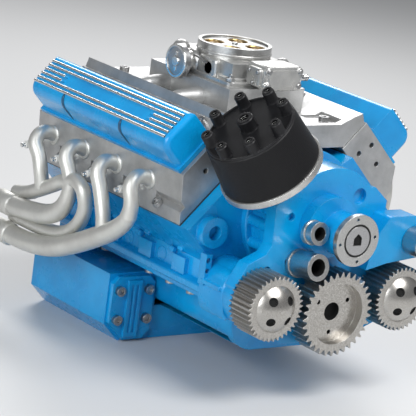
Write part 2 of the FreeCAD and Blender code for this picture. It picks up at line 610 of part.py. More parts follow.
def build_gaskets():
    gaskets = []
    for name, side in SIDES:
        low, high = mirrored_span(side, "-deck_inboard", "deck_outboard")
        sheet_part = box(f"gasket_sheet_{name}", (low, FRONT, DECK), (high, HEAD_REAR, HEAD_BASE))
        holes = [cylinder(f"gasket_eye_{name}_{i}", "chamber_radius + 0.6", "4",
                          ("0", cylinder_y(side, i), f"{DECK} - 1"))
                 for i in THROWS]
        for i in THROWS:
            for which in VALVES:
                holes.append(push_line(f"gasket_push_{name}_{i}_{which + 1}", side, i, which,
                                       "pushrod_radius + 0.6",
                                       "lifter_length", PUSH_LENGTH))
        gaskets.append(on_bank(cut(f"gasket_{name}", sheet_part, *holes), side))
    piece("head_gaskets", *gaskets)


def head_screws():
    banks = []
    for name, side in SIDES:
        screws = []
        for i in THROWS:
            screws.append(cylinder(f"low_bolt_{name}_{i}", "bolt_head", "bolt_rise",
                                   (out(side, "deck_outboard - 3"),
                                   bolt_y(side, i), f"{HEAD_BASE} + ledge_height")))
            screws.append(cylinder(f"high_bolt_{name}_{i}", "bolt_head", "bolt_rise",
                                   (out(side, "-head_inboard + 3.2"), bolt_y(side, i), HEAD_TOP)))
        banks.append(on_bank(group(f"bolts_{name}", *screws), side))
    return banks


COVER_FRONT = f"({FRONT} + cover_margin)"
COVER_REAR = f"({HEAD_REAR} - cover_margin)"


def build_cover(name, side):
    """A deep cover with a rounded outboard shoulder, an open underside and polished ribs along its top."""
    top = f"({HEAD_TOP} + cover_height)"
    outline = [("head_top_outboard - 1", HEAD_TOP), ("head_top_outboard - 1", top),
               ("-cover_inboard + 1", top),
               ("-cover_inboard + 1", HEAD_TOP)]
    shell = bank_prism(f"cover_shell_{name}", side, outline, f"{COVER_FRONT} + 1", f"{COVER_REAR} - 1")
    height = value(top)
    shoulder = value(out(side, "head_top_outboard - 1"))
    soften(shell, "cover_round", runs_along("y", lambda m: m.z > height
                                            - 0.1 and abs(m.x - shoulder) < 0.1))
    soften(shell, "2.4", lambda edge: edge.CenterOfMass.z > height - 2.2 and not runs_along("y")(edge)
           or runs_along("y", lambda m: m.z > height - 0.1)(edge) and abs(edge.CenterOfMass.x
                   - shoulder) > 12)
    low, high = mirrored_span(side, "-cover_inboard", "head_top_outboard")
    flange = box(f"cover_flange_{name}", (low, COVER_FRONT, HEAD_TOP),
                 (high, COVER_REAR, f"{HEAD_TOP} + cover_flange"))
    ribs = []
    for k in range(6):
        across = f"(-cover_inboard + 4.6 + {k} * cover_rib_pitch)"
        spans = [(f"{COVER_FRONT} + 3.2", f"{COVER_REAR} - 3.2")]
        if k in (2, 3):
            spans = [(f"{COVER_FRONT} + 3.2", f"{COVER_FRONT} + cover_rib_short"),
                     (f"{COVER_REAR} - cover_rib_short", f"{COVER_REAR} - 3.2")]
        for n, (start, stop) in enumerate(spans):
            near, far = mirrored_span(side, f"{across} - cover_rib_width / 2",
                                      f"{across} + cover_rib_width / 2")
            ribs.append(box(f"cover_rib_{name}_{k}_{n}", (near, start, f"{top} - 1"),
                            (far, stop, f"{top} + cover_rib_height")))
    inner = [("head_top_outboard - 1 - cover_wall", f"{HEAD_TOP} - 1"),
             ("head_top_outboard - 1 - cover_wall", f"{top} - cover_round - cover_wall / 2"),
             ("head_top_outboard - 1 - cover_round", f"{top} - cover_wall - 0.4"),
             ("-cover_inboard + 1 + cover_wall", f"{top} - cover_wall - 0.4"),
             ("-cover_inboard + 1 + cover_wall", f"{HEAD_TOP} - 1")]
    hollow = bank_prism(f"cover_hollow_{name}", side, inner, f"{COVER_FRONT} + 1 + cover_wall",
                        f"{COVER_REAR} - 1 - cover_wall")
    cover = cut(f"cover_{name}", fuse(f"cover_mass_{name}", shell, flange, *ribs), hollow)
    piece(f"valve_cover_{name}", on_bank(cover, side))


# ---- valve gear ------------------------------------------------------------------------------------------
def build_valve_gear():
    sets = {"valves": [], "valve_springs": [], "rocker_arms": [], "pushrods": [], "valve_lifters": []}
    shafts = []
    rocker_low = f"({HEAD_TOP} + rocker_height)"
    for name, side in SIDES:
        bank = {label: [] for label in sets}
        for i in THROWS:
            for which in VALVES:
                tag = f"{name}_{i}_{which + 1}"
                y = valve_y(side, i, which)
                at = (out(side, "-valve_offset"), y)
                valve_foot = f"({HEAD_BASE} + 0.9)"
                bank["valves"].append(fuse(
                    f"valve_{tag}",
                    cylinder(f"valve_head_{tag}", "valve_head_radius", "1.4", (*at, valve_foot)),
                    cylinder(f"valve_stem_{tag}", "valve_stem_radius", f"{rocker_low} - {valve_foot}",
                             (*at, valve_foot))))
                coil = doc.addObject("Part::Helix", f"spring_path_{tag}")
                tie(coil, "Radius", "spring_radius - spring_wire")
                tie(coil, "Pitch", "(rocker_height - 2 - 2 * spring_wire) / 3")
                tie(coil, "Height", "rocker_height - 2 - 2 * spring_wire")
                move(coil, (*at, f"{HEAD_TOP} + spring_wire"))
                wire = doc.addObject("Part::Circle", f"spring_wire_{tag}")
                tie(wire, "Radius", "spring_wire")
                wire.Placement.Rotation = FreeCAD.Rotation(FreeCAD.Vector(1, 0, 0), 90)
                move(wire, (f"{at[0]} + spring_radius - spring_wire", y, f"{HEAD_TOP} + spring_wire"))
                spring = doc.addObject("Part::Sweep", f"spring_{tag}")
                spring.Sections = [wire]
                spring.Spine = (coil, ["Edge1"])
                spring.Solid = True
                spring.Frenet = True
                bank["valve_springs"].append(spring)
                keeper = cylinder(f"retainer_{tag}", "spring_radius + 0.2", "1.2",
                                  (*at, f"{rocker_low} - 1.9"))
                stem_hole = cylinder(f"retainer_hole_{tag}", "valve_stem_radius", "3",
                                     (*at, f"{rocker_low} - 3"))
                bank["valve_springs"].append(cut(f"spring_retainer_{tag}", keeper, stem_hole))
                near, far = mirrored_span(side, "-pushrod_offset - 1.3", "-valve_offset + 1.6")
                arm = box(f"rocker_bar_{tag}", (near, f"{y} - rocker_width / 2", rocker_low),
                          (far, f"{y} + rocker_width / 2", f"{rocker_low} + rocker_thickness"))
                eye = cylinder(f"rocker_eye_{tag}", "rocker_shaft_radius + 1.3", "rocker_width",
                               (out(side, "-rocker_offset"), f"{y} - rocker_width / 2",
                                f"{rocker_low} + 1.6"), "Y")
                hole = cylinder(f"rocker_hole_{tag}", "rocker_shaft_radius + shaft_clearance",
                                "rocker_width + 2",
                                (out(side, "-rocker_offset"), f"{y} - rocker_width / 2 - 1",
                                 f"{rocker_low} + 1.6"), "Y")
                bank["rocker_arms"].append(cut(f"rocker_{tag}", fuse(f"rocker_mass_{tag}", arm, eye), hole))
                bank["pushrods"].append(push_line(f"pushrod_{tag}", side, i, which, "pushrod_radius",
                                                  f"{LIFTER_TOP}", f"{PUSH_LENGTH} + 0.2"))
                bank["valve_lifters"].append(push_line(f"lifter_{tag}", side, i, which, "lifter_radius",
                                                       LIFTER_FOOT, LIFTER_TOP))
        posts = [cylinder(f"rocker_shaft_{name}", "rocker_shaft_radius",
                          f"{COVER_REAR} - {COVER_FRONT} - 10",
                          (out(side, "-rocker_offset"), f"{COVER_FRONT} + 5", f"{rocker_low} + 1.6"), "Y")]
        for i in THROWS:
            post_y = f"({cylinder_y(side, i)} - 1.5)"
            posts.append(box(f"rocker_post_{name}_{i}",
                             (out(side, "-rocker_offset") + " - 1.8", post_y, HEAD_TOP),
                             (out(side, "-rocker_offset") + " + 1.8", f"{post_y} + 3",
                              f"{rocker_low} + 2.2")))
        shafts.append(on_bank(fuse(f"rocker_rail_{name}", *posts), side))
        for label, things in bank.items():
            sets[label].append(on_bank(group(f"{label}_{name}", *things), side))
    for label, banks in sets.items():
        piece(label, *banks)
    piece("rocker_shafts", *shafts)


# ---- camshaft and timing gears ---------------------------------------------------------------------------
def build_camshaft():
    start = f"({FRONT} - distributor_front - skew_width / 2)"
    parts = [cylinder("cam_core", "cam_core_radius", f"{BLOCK_REAR} - 4 - {FRONT}",
                      ("0", FRONT, CAM_HEIGHT), "Y"),
             cylinder("cam_nose", "pump_shaft_radius + 0.4", f"{FRONT} + 1 - {start}",
                      ("0", start, CAM_HEIGHT), "Y")]
    for j in MAINS:
        parts.append(cylinder(f"cam_journal_{j}", "cam_journal_radius", "4",
                              ("0", f"{main_y(j)} - 2", CAM_HEIGHT), "Y"))
    for name, side in SIDES:
        for i in THROWS:
            for which in VALVES:
                lobe_angle = f"{90 * i + 45 * which + 20 * side}"
                parts.append(cylinder(f"lobe_{name}_{i}_{which + 1}", "lobe_radius", "lobe_width",
                                      (f"lobe_lift * cos({lobe_angle})",
                                       f"{valve_y(side, i, which)} - lobe_width / 2",
                                       f"{CAM_HEIGHT} + lobe_lift * sin({lobe_angle})"), "Y"))
    skew = toothed("skew_gear_blank", "12", "skew_radius / 6.7", "skew_width", ("0", start, CAM_HEIGHT))
    piece("camshaft", fuse("camshaft", *parts, skew))


GEAR_Y = f"({BLOCK_FRONT} - timing_gear_gap - timing_gear_width)"


def build_timing_gears():
    pinion = toothed("pinion_blank", "pinion_teeth", "timing_module", "timing_gear_width",
                     ("0", GEAR_Y, "0"))
    bore = cylinder("pinion_bore", "crank_gear_bore", "timing_gear_width + 2", ("0", f"{GEAR_Y} - 1", "0"),
                    "Y")
    piece("crank_timing_gear", cut("crank_timing_gear", pinion, bore))
    wheel = toothed("cam_gear_blank", "pinion_teeth * 2", "timing_module", "timing_gear_width",
                    ("0", GEAR_Y, CAM_HEIGHT), 0.5)
    tools = [cylinder("cam_gear_bore", "pump_shaft_radius + 0.4", "timing_gear_width + 2",
                      ("0", f"{GEAR_Y} - 1", CAM_HEIGHT), "Y")]
    for k in range(5):
        tools.append(cylinder(f"cam_gear_window_{k}", "pinion_teeth / 6", "timing_gear_width + 2",
                              (f"pinion_teeth * 0.56 * sin({72 * k})", f"{GEAR_Y} - 1",
                               f"{CAM_HEIGHT} + pinion_teeth * 0.56 * cos({72 * k})"), "Y"))
    piece("cam_timing_gear", cut("cam_timing_gear", wheel, *tools))


# ---- timing cover ----------------------------------------------------------------------------------------
def build_timing_cover():
    """The front plate with a deep case behind it round the timing gears and the two wheel housings."""
    depth = f"{BLOCK_FRONT} - {CASE_FRONT}"
    sole = "(-(pinion_teeth / 2 + 5))"
    left = [("-22", "49.6"), ("-29.2", "43.6"), ("-28.5", "27"), ("-31", "23"), ("-39.5", "19.5"),
            ("-45", "10"), ("-44", "-1"), ("-38", "-7.2"), ("-16", sole)]
    right = [(f"-({x})", z) for x, z in reversed(left)]
    plate = prism("front_plate", left + right, PLATE_FRONT, CASE_FRONT)
    soften(plate, "2.5", runs_along("y", lambda m: 21 < m.z < 28 and abs(m.x) < 33))
    parts = [plate,
             cylinder("plate_arch", CASE_RADIUS, "plate_thickness", ("0", PLATE_FRONT, CAM_HEIGHT), "Y"),
             cylinder("case_round", CASE_RADIUS, depth, ("0", CASE_FRONT, CAM_HEIGHT), "Y"),
             box("case_foot", ("-pinion_teeth / 2 - 4", CASE_FRONT, sole),
                 ("pinion_teeth / 2 + 4", BLOCK_FRONT, CAM_HEIGHT)),
             cylinder("seal_boss", "crank_gear_bore + 4", "1.6", ("0", f"{PLATE_FRONT} - 1.6", "0"), "Y")]
    for name, side in SIDES:
        parts.append(cylinder(f"wheel_housing_{name}", "wheel_housing_radius",
                              f"{BLOCK_FRONT} - {PLATE_FRONT}",
                              (f"{side} * wheel_offset", PLATE_FRONT, "wheel_height"), "Y"))
        low, high = mirrored_span(side, "wheel_offset + wheel_housing_radius - 2",
                                  "wheel_offset + wheel_housing_radius + 1")
        parts.append(box(f"housing_tab_{name}", (low, f"{BLOCK_FRONT} - 4", "wheel_height + 1"),
                         (high, BLOCK_FRONT, "wheel_height + 14")))
    boss = cylinder("distributor_boss", "distributor_boss_radius", "distributor_boss_length - 12",
                    ("0", "0", "0"))
    parts.append(along_distributor(boss, "12"))
    reach = f"{BLOCK_FRONT} - ({PLATE_FRONT} + case_wall)"
    tools = [cylinder("case_hollow", f"{CASE_RADIUS} - case_wall", reach,
                      ("0", f"{PLATE_FRONT} + case_wall", CAM_HEIGHT), "Y"),
             cylinder("pinion_hollow", "pinion_teeth / 2 + 2", reach,
                      ("0", f"{PLATE_FRONT} + case_wall", "0"), "Y"),
             cylinder("crank_hole", "crank_gear_bore + 0.1", "plate_thickness",
                      ("0", f"{PLATE_FRONT} - 2", "0"), "Y"),
             cylinder("pump_shaft_hole", "pump_shaft_radius + shaft_clearance", "plate_thickness",
                      ("0", f"{PLATE_FRONT} - 2", CAM_HEIGHT), "Y"),
             cylinder("plate_dimple", "3.4", "2.6", ("14", f"{PLATE_FRONT} - 0.6", "46"), "Y")]
    for x, z in (("-20.6", "38.6"), ("-19.2", "19.6"), ("-29.6", "16.4"), ("19.2", "-8"), ("29.6", "16.4")):
        tools.append(cylinder(f"plate_hole_{len(tools)}", "bolt_radius + 0.5", "3",
                              (x, f"{PLATE_FRONT} - 1", z), "Y"))
    for name, side in SIDES:
        tools.append(cylinder(f"wheel_shaft_hole_{name}", "wheel_shaft_radius + shaft_clearance",
                              f"{BLOCK_FRONT} - {PLATE_FRONT} + 2",
                              (f"{side} * wheel_offset", f"{PLATE_FRONT} - 1", "wheel_height"), "Y"))
        for k in (0, 1):
            tools.append(cylinder(f"tab_hole_{name}_{k}", "tab_hole_radius", "6",
                                  (f"{side} * (wheel_offset + wheel_housing_radius - 0.3)",
                                   f"{BLOCK_FRONT} - 5",
                                   f"wheel_height + 7 + {k} * 4.4"), "Y"))
    stem = cylinder("stem_hole", "distributor_stem_radius + shaft_clearance", "distributor_boss_length",
                    ("0", "0", "0"))
    tools.append(along_distributor(stem, "4"))
    piece("timing_cover", cut("timing_cover", fuse("timing_cover_mass", *parts), *tools))


def along_distributor(thing, start):
    """Places a shape built along +Z on the distributor's leaning axis, a distance up from its skew gear."""
    turn(thing, (0, 1, 0), "-distributor_tilt")
    offset = "(2 * skew_radius + skew_gap + 0.2)"
    x = f"-{offset} * cos(distributor_tilt) - ({start}) * sin(distributor_tilt)"
    z = f"{CAM_HEIGHT} - {offset} * sin(distributor_tilt) + ({start}) * cos(distributor_tilt)"
    return move(thing, (x, f"{FRONT} - distributor_front", z))


def build_wheels():
    """Two free toothed wheels, each turning with a domed hub and its shaft."""
    front = f"({FRONT} - wheel_front)"
    ball_radius = "((wheel_cap_radius^2 + wheel_cap_height^2) / (2 * wheel_cap_height))"
    for name, side in SIDES:
        x = f"{side} * wheel_offset"
        blank = toothed(f"wheel_blank_{name}", "wheel_teeth", "wheel_module", "wheel_width",
                        (x, front, "wheel_height"),
                        tall=0.97)
        recess = cylinder(f"wheel_recess_{name}", "wheel_cap_radius", "wheel_seat + 1",
                          (x, f"{front} - 1", "wheel_height"), "Y")
        bore = cylinder(f"wheel_bore_{name}", "wheel_shaft_radius", "wheel_width + 2",
                        (x, f"{front} - 1", "wheel_height"), "Y")
        piece(f"toothed_wheel_{name}", cut(f"toothed_wheel_{name}", blank, recess, bore))
        rim = cylinder(f"hub_rim_{name}", "wheel_cap_radius", "wheel_cap_height + wheel_seat",
                       (x, f"{front} - wheel_cap_height", "wheel_height"), "Y")
        ball = doc.addObject("Part::Sphere", f"hub_ball_{name}")
        tie(ball, "Radius", ball_radius)
        move(ball, (x, f"{front} - wheel_cap_height + {ball_radius}", "wheel_height"))
        dome = doc.addObject("Part::Common", f"hub_dome_{name}")
        dome.Base, dome.Tool = rim, ball
        shaft = cylinder(f"hub_shaft_{name}", "wheel_shaft_radius", f"{BLOCK_FRONT} - 2 - {front}",
                         (x, front, "wheel_height"), "Y")
        holes = [cylinder(f"hub_hole_{name}_{k}", "hub_hole_radius", "wheel_cap_height",
                          (f"{x} + wheel_cap_radius * 0.62 * cos({45 + 90 * k})",
                           f"{front} - wheel_cap_height - 0.5",
                           f"wheel_height + wheel_cap_radius * 0.62 * sin({45 + 90 * k})"),
                          "Y") for k in range(4)]
        piece(f"wheel_hub_{name}", cut(f"wheel_hub_{name}", fuse(f"hub_mass_{name}", dome, shaft), *holes))


def build_crank_gear():
    front = f"({FRONT} - crank_gear_front)"
    blank = toothed("crank_gear_blank", "crank_gear_teeth", "crank_gear_module", "crank_gear_width",
                    ("0", front, "0"), tall=1)
    tools = [cylinder("crank_gear_dish", "crank_gear_recess", "crank_gear_recess_depth + 1",
                      ("0", f"{front} - 1", "0"), "Y"),
             cylinder("crank_gear_eye", "crank_gear_bore", "crank_gear_width + 2",
                      ("0", f"{front} - 1", "0"), "Y")]
    for k in range(3):
        tools.append(cylinder(f"crank_gear_hole_{k}", "crank_gear_hole", "crank_gear_width + 2",
                              (f"crank_gear_hole_circle * sin({120 * k - 60})", f"{front} - 1",
                               f"crank_gear_hole_circle * cos({120 * k - 60})"), "Y"))
    piece("crank_gear", cut("crank_gear", blank, *tools))


# ---- water pump and front fittings -----------------------------------------------------------------------
def build_water_pump():
    ring_face = f"({FRONT} - pump_front)"
    ring_back = f"({ring_face} + pump_ring_thickness)"
    volute_front = f"({PLATE_FRONT} - volute_depth)"
    volute = cylinder("volute", "volute_radius", "volute_depth",
                      ("-volute_shift", volute_front, f"{CAM_HEIGHT} + volute_rise"), "Y")
    nose = cylinder("pump_nose", "pump_body_radius", f"{PLATE_FRONT} - {ring_back}",
                    ("0", ring_back, CAM_HEIGHT), "Y")
    chamber = cylinder("pump_chamber", "impeller_radius + 0.6", "volute_depth - 2",
                       ("0", f"{PLATE_FRONT} - volute_depth + 2", CAM_HEIGHT), "Y")
    tunnel = cylinder("pump_tunnel", "pump_shaft_radius + shaft_clearance",
                      f"{PLATE_FRONT} - {ring_back} + 2",
                      ("0", f"{ring_back} - 1", CAM_HEIGHT), "Y")
    hub_room = cylinder("pump_hub_room", "pump_hub_radius + 0.3", "3",
                        ("0", f"{ring_back} - 1", CAM_HEIGHT), "Y")
    piece("water_pump_housing", cut("water_pump_housing", fuse("pump_mass", volute, nose), chamber, tunnel,
                                    hub_room))
    ring = cylinder("ring_disc", "pump_ring_radius", "pump_ring_thickness", ("0", ring_face, CAM_HEIGHT),
                    "Y")
    ring_tools = [cylinder("ring_eye", "pump_seal_radius", "pump_ring_thickness + 2",
                           ("0", f"{ring_face} - 1", CAM_HEIGHT), "Y")]
    for k in range(4):
        ring_tools.append(cylinder(f"ring_hole_{k}", "pump_hole_radius", "pump_ring_thickness + 2",
                                   (f"pump_bolt_circle * cos({90 * k + 8})", f"{ring_face} - 1",
                                    f"{CAM_HEIGHT} + pump_bolt_circle * sin({90 * k + 8})"), "Y"))
    piece("water_pump_ring", cut("water_pump_ring", ring, *ring_tools))
    seal = cylinder("seal_disc", "pump_seal_radius", "pump_ring_thickness - 0.4",
                    ("0", f"{ring_face} + 0.4", CAM_HEIGHT), "Y")
    seal_eye = cylinder("seal_eye", "pump_seal_radius - pump_seal_wall", "pump_ring_thickness + 2",
                        ("0", f"{ring_face} - 1", CAM_HEIGHT), "Y")
    piece("water_pump_seal", cut("water_pump_seal", seal, seal_eye))
    hub = cylinder("pump_hub", "pump_hub_radius", "pump_ring_thickness + 1.4",
                   ("0", ring_face, CAM_HEIGHT), "Y")
    socket = prism("hub_socket", [("-2.1", f"{CAM_HEIGHT} - 2"), ("2.1", f"{CAM_HEIGHT} - 2"),
                                  ("2.1", f"{CAM_HEIGHT} + 1.1"),
                                  ("0", f"{CAM_HEIGHT} + 3"), ("-2.1", f"{CAM_HEIGHT} + 1.1")],
                   f"{ring_face} - 1", f"{ring_face} + 2.6")
    cam_end = f"({FRONT} - distributor_front - skew_width / 2)"
    shaft = cylinder("pump_spindle", "pump_shaft_radius", f"{cam_end} - ({ring_face} + 2.8)",
                     ("0", f"{ring_face} + 2.8", CAM_HEIGHT), "Y")
    disc_y = f"({PLATE_FRONT} - volute_depth + 2.6)"
    disc = cylinder("impeller_disc", "impeller_radius", "0.8", ("0", disc_y, CAM_HEIGHT), "Y")
    blades = [turn(box(f"impeller_blade_{k}", ("-0.5", "0", "0"), ("0.5", "2.6", "impeller_radius - 0.2")),
                   (0, 1, 0), f"{60 * k} + 0.001")
              for k in range(6)]
    for blade in blades:
        move(blade, ("0", disc_y, CAM_HEIGHT))
    piece("water_pump_rotor", cut("water_pump_rotor", fuse("pump_rotor_mass", hub, shaft, disc, *blades),
                                  socket))


def build_pipes():
    pipes = []
    for name, back in (("upper", f"{PLATE_FRONT} - volute_depth"), ("lower", PLATE_FRONT)):
        tube = cylinder(f"{name}_tube", f"{name}_pipe_radius", f"{name}_pipe_length", ("0", "0", "0"))
        collar = cylinder(f"{name}_collar", f"{name}_pipe_radius + pipe_collar_rise", "pipe_collar_length",
                          ("0", "0", "0"))
        bore = cylinder(f"{name}_tube_bore", f"{name}_pipe_bore", f"{name}_pipe_length + 2",
                        ("0", "0", "1.5"))
        pipe = cut(f"{name}_pipe", fuse(f"{name}_pipe_mass", tube, collar), bore)
        turn(pipe, (1, 0, 0), "90 - pipe_tilt")
        move(pipe, (f"-{name}_pipe_offset", f"{back} + sin(pipe_tilt) * {name}_pipe_radius + 0.2",
                    f"{name}_pipe_height"))
        trim = box(f"{name}_pipe_trim", ("-wheel_offset", back, "0"),
                   ("0", f"{BLOCK_FRONT}", "wheel_front * 2"))
        pipes.append(cut(f"{name}_hose_pipe", pipe, trim))
    piece("hose_pipes", *pipes)


def build_bracket():
    face = f"({PLATE_FRONT} - bracket_depth)"
    arm = prism("bracket_arm", [("14.5", "17"), ("25", "19.4"), ("44", "21.5"), ("44", "34"),
                                ("38", "39.5"), ("24", "39.5"),
                                ("17", "30")], face, PLATE_FRONT)
    soften(arm, "2.5", runs_along("y", lambda m: m.z > 30 and m.x > 20))
    hole = cylinder("roller_hole", "roller_shaft_radius + shaft_clearance", "bracket_depth",
                    ("roller_offset", f"{face} - 1", "roller_height"), "Y")
    clear = cylinder("bracket_relief", "pump_ring_radius + 0.8", "bracket_depth + 2",
                     ("0", f"{face} - 1", CAM_HEIGHT), "Y")
    piece("accessory_bracket", cut("accessory_bracket", arm, hole, clear))
    roller = cylinder("roller_barrel", "roller_radius", "roller_length",
                      ("roller_offset", f"{face} - roller_length - 0.3", "roller_height"), "Y")
    spindle = cylinder("roller_spindle", "roller_shaft_radius", "bracket_depth - 2",
                       ("roller_offset", f"{face} - 0.5", "roller_height"), "Y")
    dish = cylinder("roller_dish", "roller_radius - 1.6", "1.5",
                    ("roller_offset", f"{face} - roller_length - 1", "roller_height"), "Y")
    piece("idler_roller", cut("idler_roller", fuse("roller_mass", roller, spindle), dish))


# ---- distributor -----------------------------------------------------------------------------------------
def build_distributor():
    seat = "cap_seat"
    housing = turned("distributor_body", [
        ("distributor_shaft_radius + shaft_clearance", "8"), ("distributor_stem_radius", "8"),
        ("distributor_stem_radius", "distributor_boss_length"),
                                          ("distributor_boss_radius + 2", "distributor_boss_length"),
        ("distributor_boss_radius + 3", "distributor_boss_length + 3"),
                                          ("base_ring_radius - 3", f"{seat} - base_ring_thickness"),
        ("base_ring_radius", f"{seat} - base_ring_thickness"), ("base_ring_radius", seat),
        ("distributor_shaft_radius + shaft_clearance", seat)], ("0", "0", "0"), "Z")
    piece("distributor_housing", along_distributor(housing, "0"))
    top = f"{seat} + cap_tall"
    shell = turned("cap_shell", [
        ("0", f"{top} - cap_wall"), ("cap_top_radius - cap_wall", f"{top} - cap_wall"),
                                 ("cap_radius - cap_wall", seat),
        ("cap_radius", seat), ("cap_top_radius", f"{top} - 0.6"), ("cap_top_radius - 0.6", top),
                                 ("0", top)],
        ("0", "0", "0"), "Z")
    parts = [shell, cylinder("centre_tower", "centre_tower_radius", "tower_height + 1",
                             ("0", "0", f"{top} - 1"))]
    sockets = [cylinder("centre_socket", "centre_tower_radius - 1.2", "4",
                        ("0", "0", f"{top} + tower_height - 3"))]
    for k in range(8):
        at = (f"tower_circle * cos({45 * k + 12})", f"tower_circle * sin({45 * k + 12})")
        parts.append(cylinder(f"tower_{k}", "tower_radius", "tower_height + 1", (*at, f"{top} - 1")))
        sockets.append(cylinder(f"tower_socket_{k}", "tower_radius - 0.8", "3",
                                (*at, f"{top} + tower_height - 2")))
    piece("distributor_cap", along_distributor(cut("distributor_cap", fuse("cap_mass", *parts), *sockets),
                                               "0"))
    skew = toothed("drive_gear_blank", "12", "skew_radius / 6.7", "skew_width", ("0", "0", "0"), 0.5)
    skew.Placement = FreeCAD.Placement(FreeCAD.Vector(0, 0, -value("skew_width") / 2),
                                       FreeCAD.Rotation(FreeCAD.Vector(1, 0, 0), 90))
    spindle = cylinder("distributor_spindle", "distributor_shaft_radius", f"{seat} + 6 + skew_width / 2",
                       ("0", "0", "-skew_width / 2"))
    piece("distributor_shaft", along_distributor(fuse("distributor_shaft", skew, spindle), "0"))
    hub = cylinder("rotor_hub", "3.6", "5.4", ("0", "0", f"{seat} + 3.2"))
    blade = box("rotor_blade", ("0", "-2", f"{seat} + 5.6"), ("tower_circle - 1.2", "2", f"{seat} + 7.6"))
    hole = cylinder("rotor_hole", "distributor_shaft_radius", "5.4 - 2.6", ("0", "0", f"{seat} + 3.2"))
    piece("rotor_arm", along_distributor(cut("rotor_arm", fuse("rotor_mass", hub, blade), hole), "0"))


# ---- intake manifold and carburettor ---------------------------------------------------------------------
def build_manifold():
    """A valley manifold: its sides lie on the heads' intake faces and its pad carries the carburettor."""
    side_gap = "0.15"
    foot = bank_point(1, f"{HEAD_BASE} + 0.8", f"head_inboard + {side_gap}")
    edge = bank_point(1, f"{HEAD_TOP} - 1", f"head_inboard + {side_gap}")
    right = [foot, edge, (f"{edge[0]} - 1.5", "manifold_top + 1.5"), (f"{edge[0]} - 6", "manifold_top"),
             ("manifold_pad_half + 3", "manifold_top - 3"), ("manifold_pad_half", "manifold_top - 3")]
    left = [(f"-({x})", z) for x, z in reversed(right)]
    body = prism("manifold_outline", right + left, f"{FRONT} + 0.5", f"{HEAD_REAR} - 0.5")
    pad = box("manifold_pad", ("-manifold_pad_half", f"{FRONT} + manifold_pad_front", "manifold_top - 4"),
              ("manifold_pad_half", f"{FRONT} + manifold_pad_front + manifold_pad_length", "carb_base"))
    hollow = box("plenum", ("-manifold_pad_half + manifold_wall",
                            f"{FRONT} + manifold_pad_front + manifold_wall",
                            "manifold_floor + manifold_wall"),
                 ("manifold_pad_half - manifold_wall",
                  f"{FRONT} + manifold_pad_front + manifold_pad_length - manifold_wall",
                  "carb_base - manifold_wall"))
    tools = [hollow]
    for bore in throttle_bores("manifold"):
        tools.append(bore)
    for name, side in SIDES:
        for i in THROWS:
            low, high = mirrored_span(side, "manifold_pad_half - manifold_wall - 1",
                                      "manifold_pad_half + 14")
            tools.append(box(f"runner_{name}_{i}", (low, f"{cylinder_y(side, i)} - 3",
                                                    "manifold_floor + manifold_wall"),
                             (high, f"{cylinder_y(side, i)} + 3", "manifold_floor + manifold_wall + 3.5")))
        pocket_low, pocket_high = mirrored_span(side, "manifold_pad_half - 6", "manifold_pad_half + 6")
        tools.append(box(f"manifold_pocket_{name}", (pocket_low, f"{FRONT} + 4", "manifold_top - 4"),
                         (pocket_high, f"{FRONT} + 18", "manifold_top + 3")))
    piece("intake_manifold", cut("intake_manifold", fuse("manifold_mass", body, pad), *tools))


def manifold_screws():
    screws = []
    for name, side in SIDES:
        for k, y in enumerate((f"{FRONT} + 11", f"{HEAD_REAR} - 8")):
            height = "manifold_top - 4" if k == 0 else "manifold_top - 3"
            across = "manifold_pad_half + 2" if k == 0 else "manifold_pad_half"
            screws.append(cylinder(f"manifold_bolt_{name}_{k}", "bolt_head", "bolt_rise",
                                   (out(side, across), y, height)))
    return screws


def throttle_bores(tag, low="carb_base - manifold_wall - 1",
                   high="carb_base + carb_body_height + air_horn_height + 1"):
    bores = []
    for across in (-1, 1):
        for along in (-1, 1):
            bores.append(cylinder(f"throttle_bore_{tag}_{across + 1}_{along + 1}", "throttle_bore",
                                  f"({high}) - ({low})",
                                  (f"{across} * throttle_spread",
                                   f"{FRONT} + carb_centre + {along} * throttle_spread", low)))
    return bores


CARB_Y = f"({FRONT} + carb_centre)"


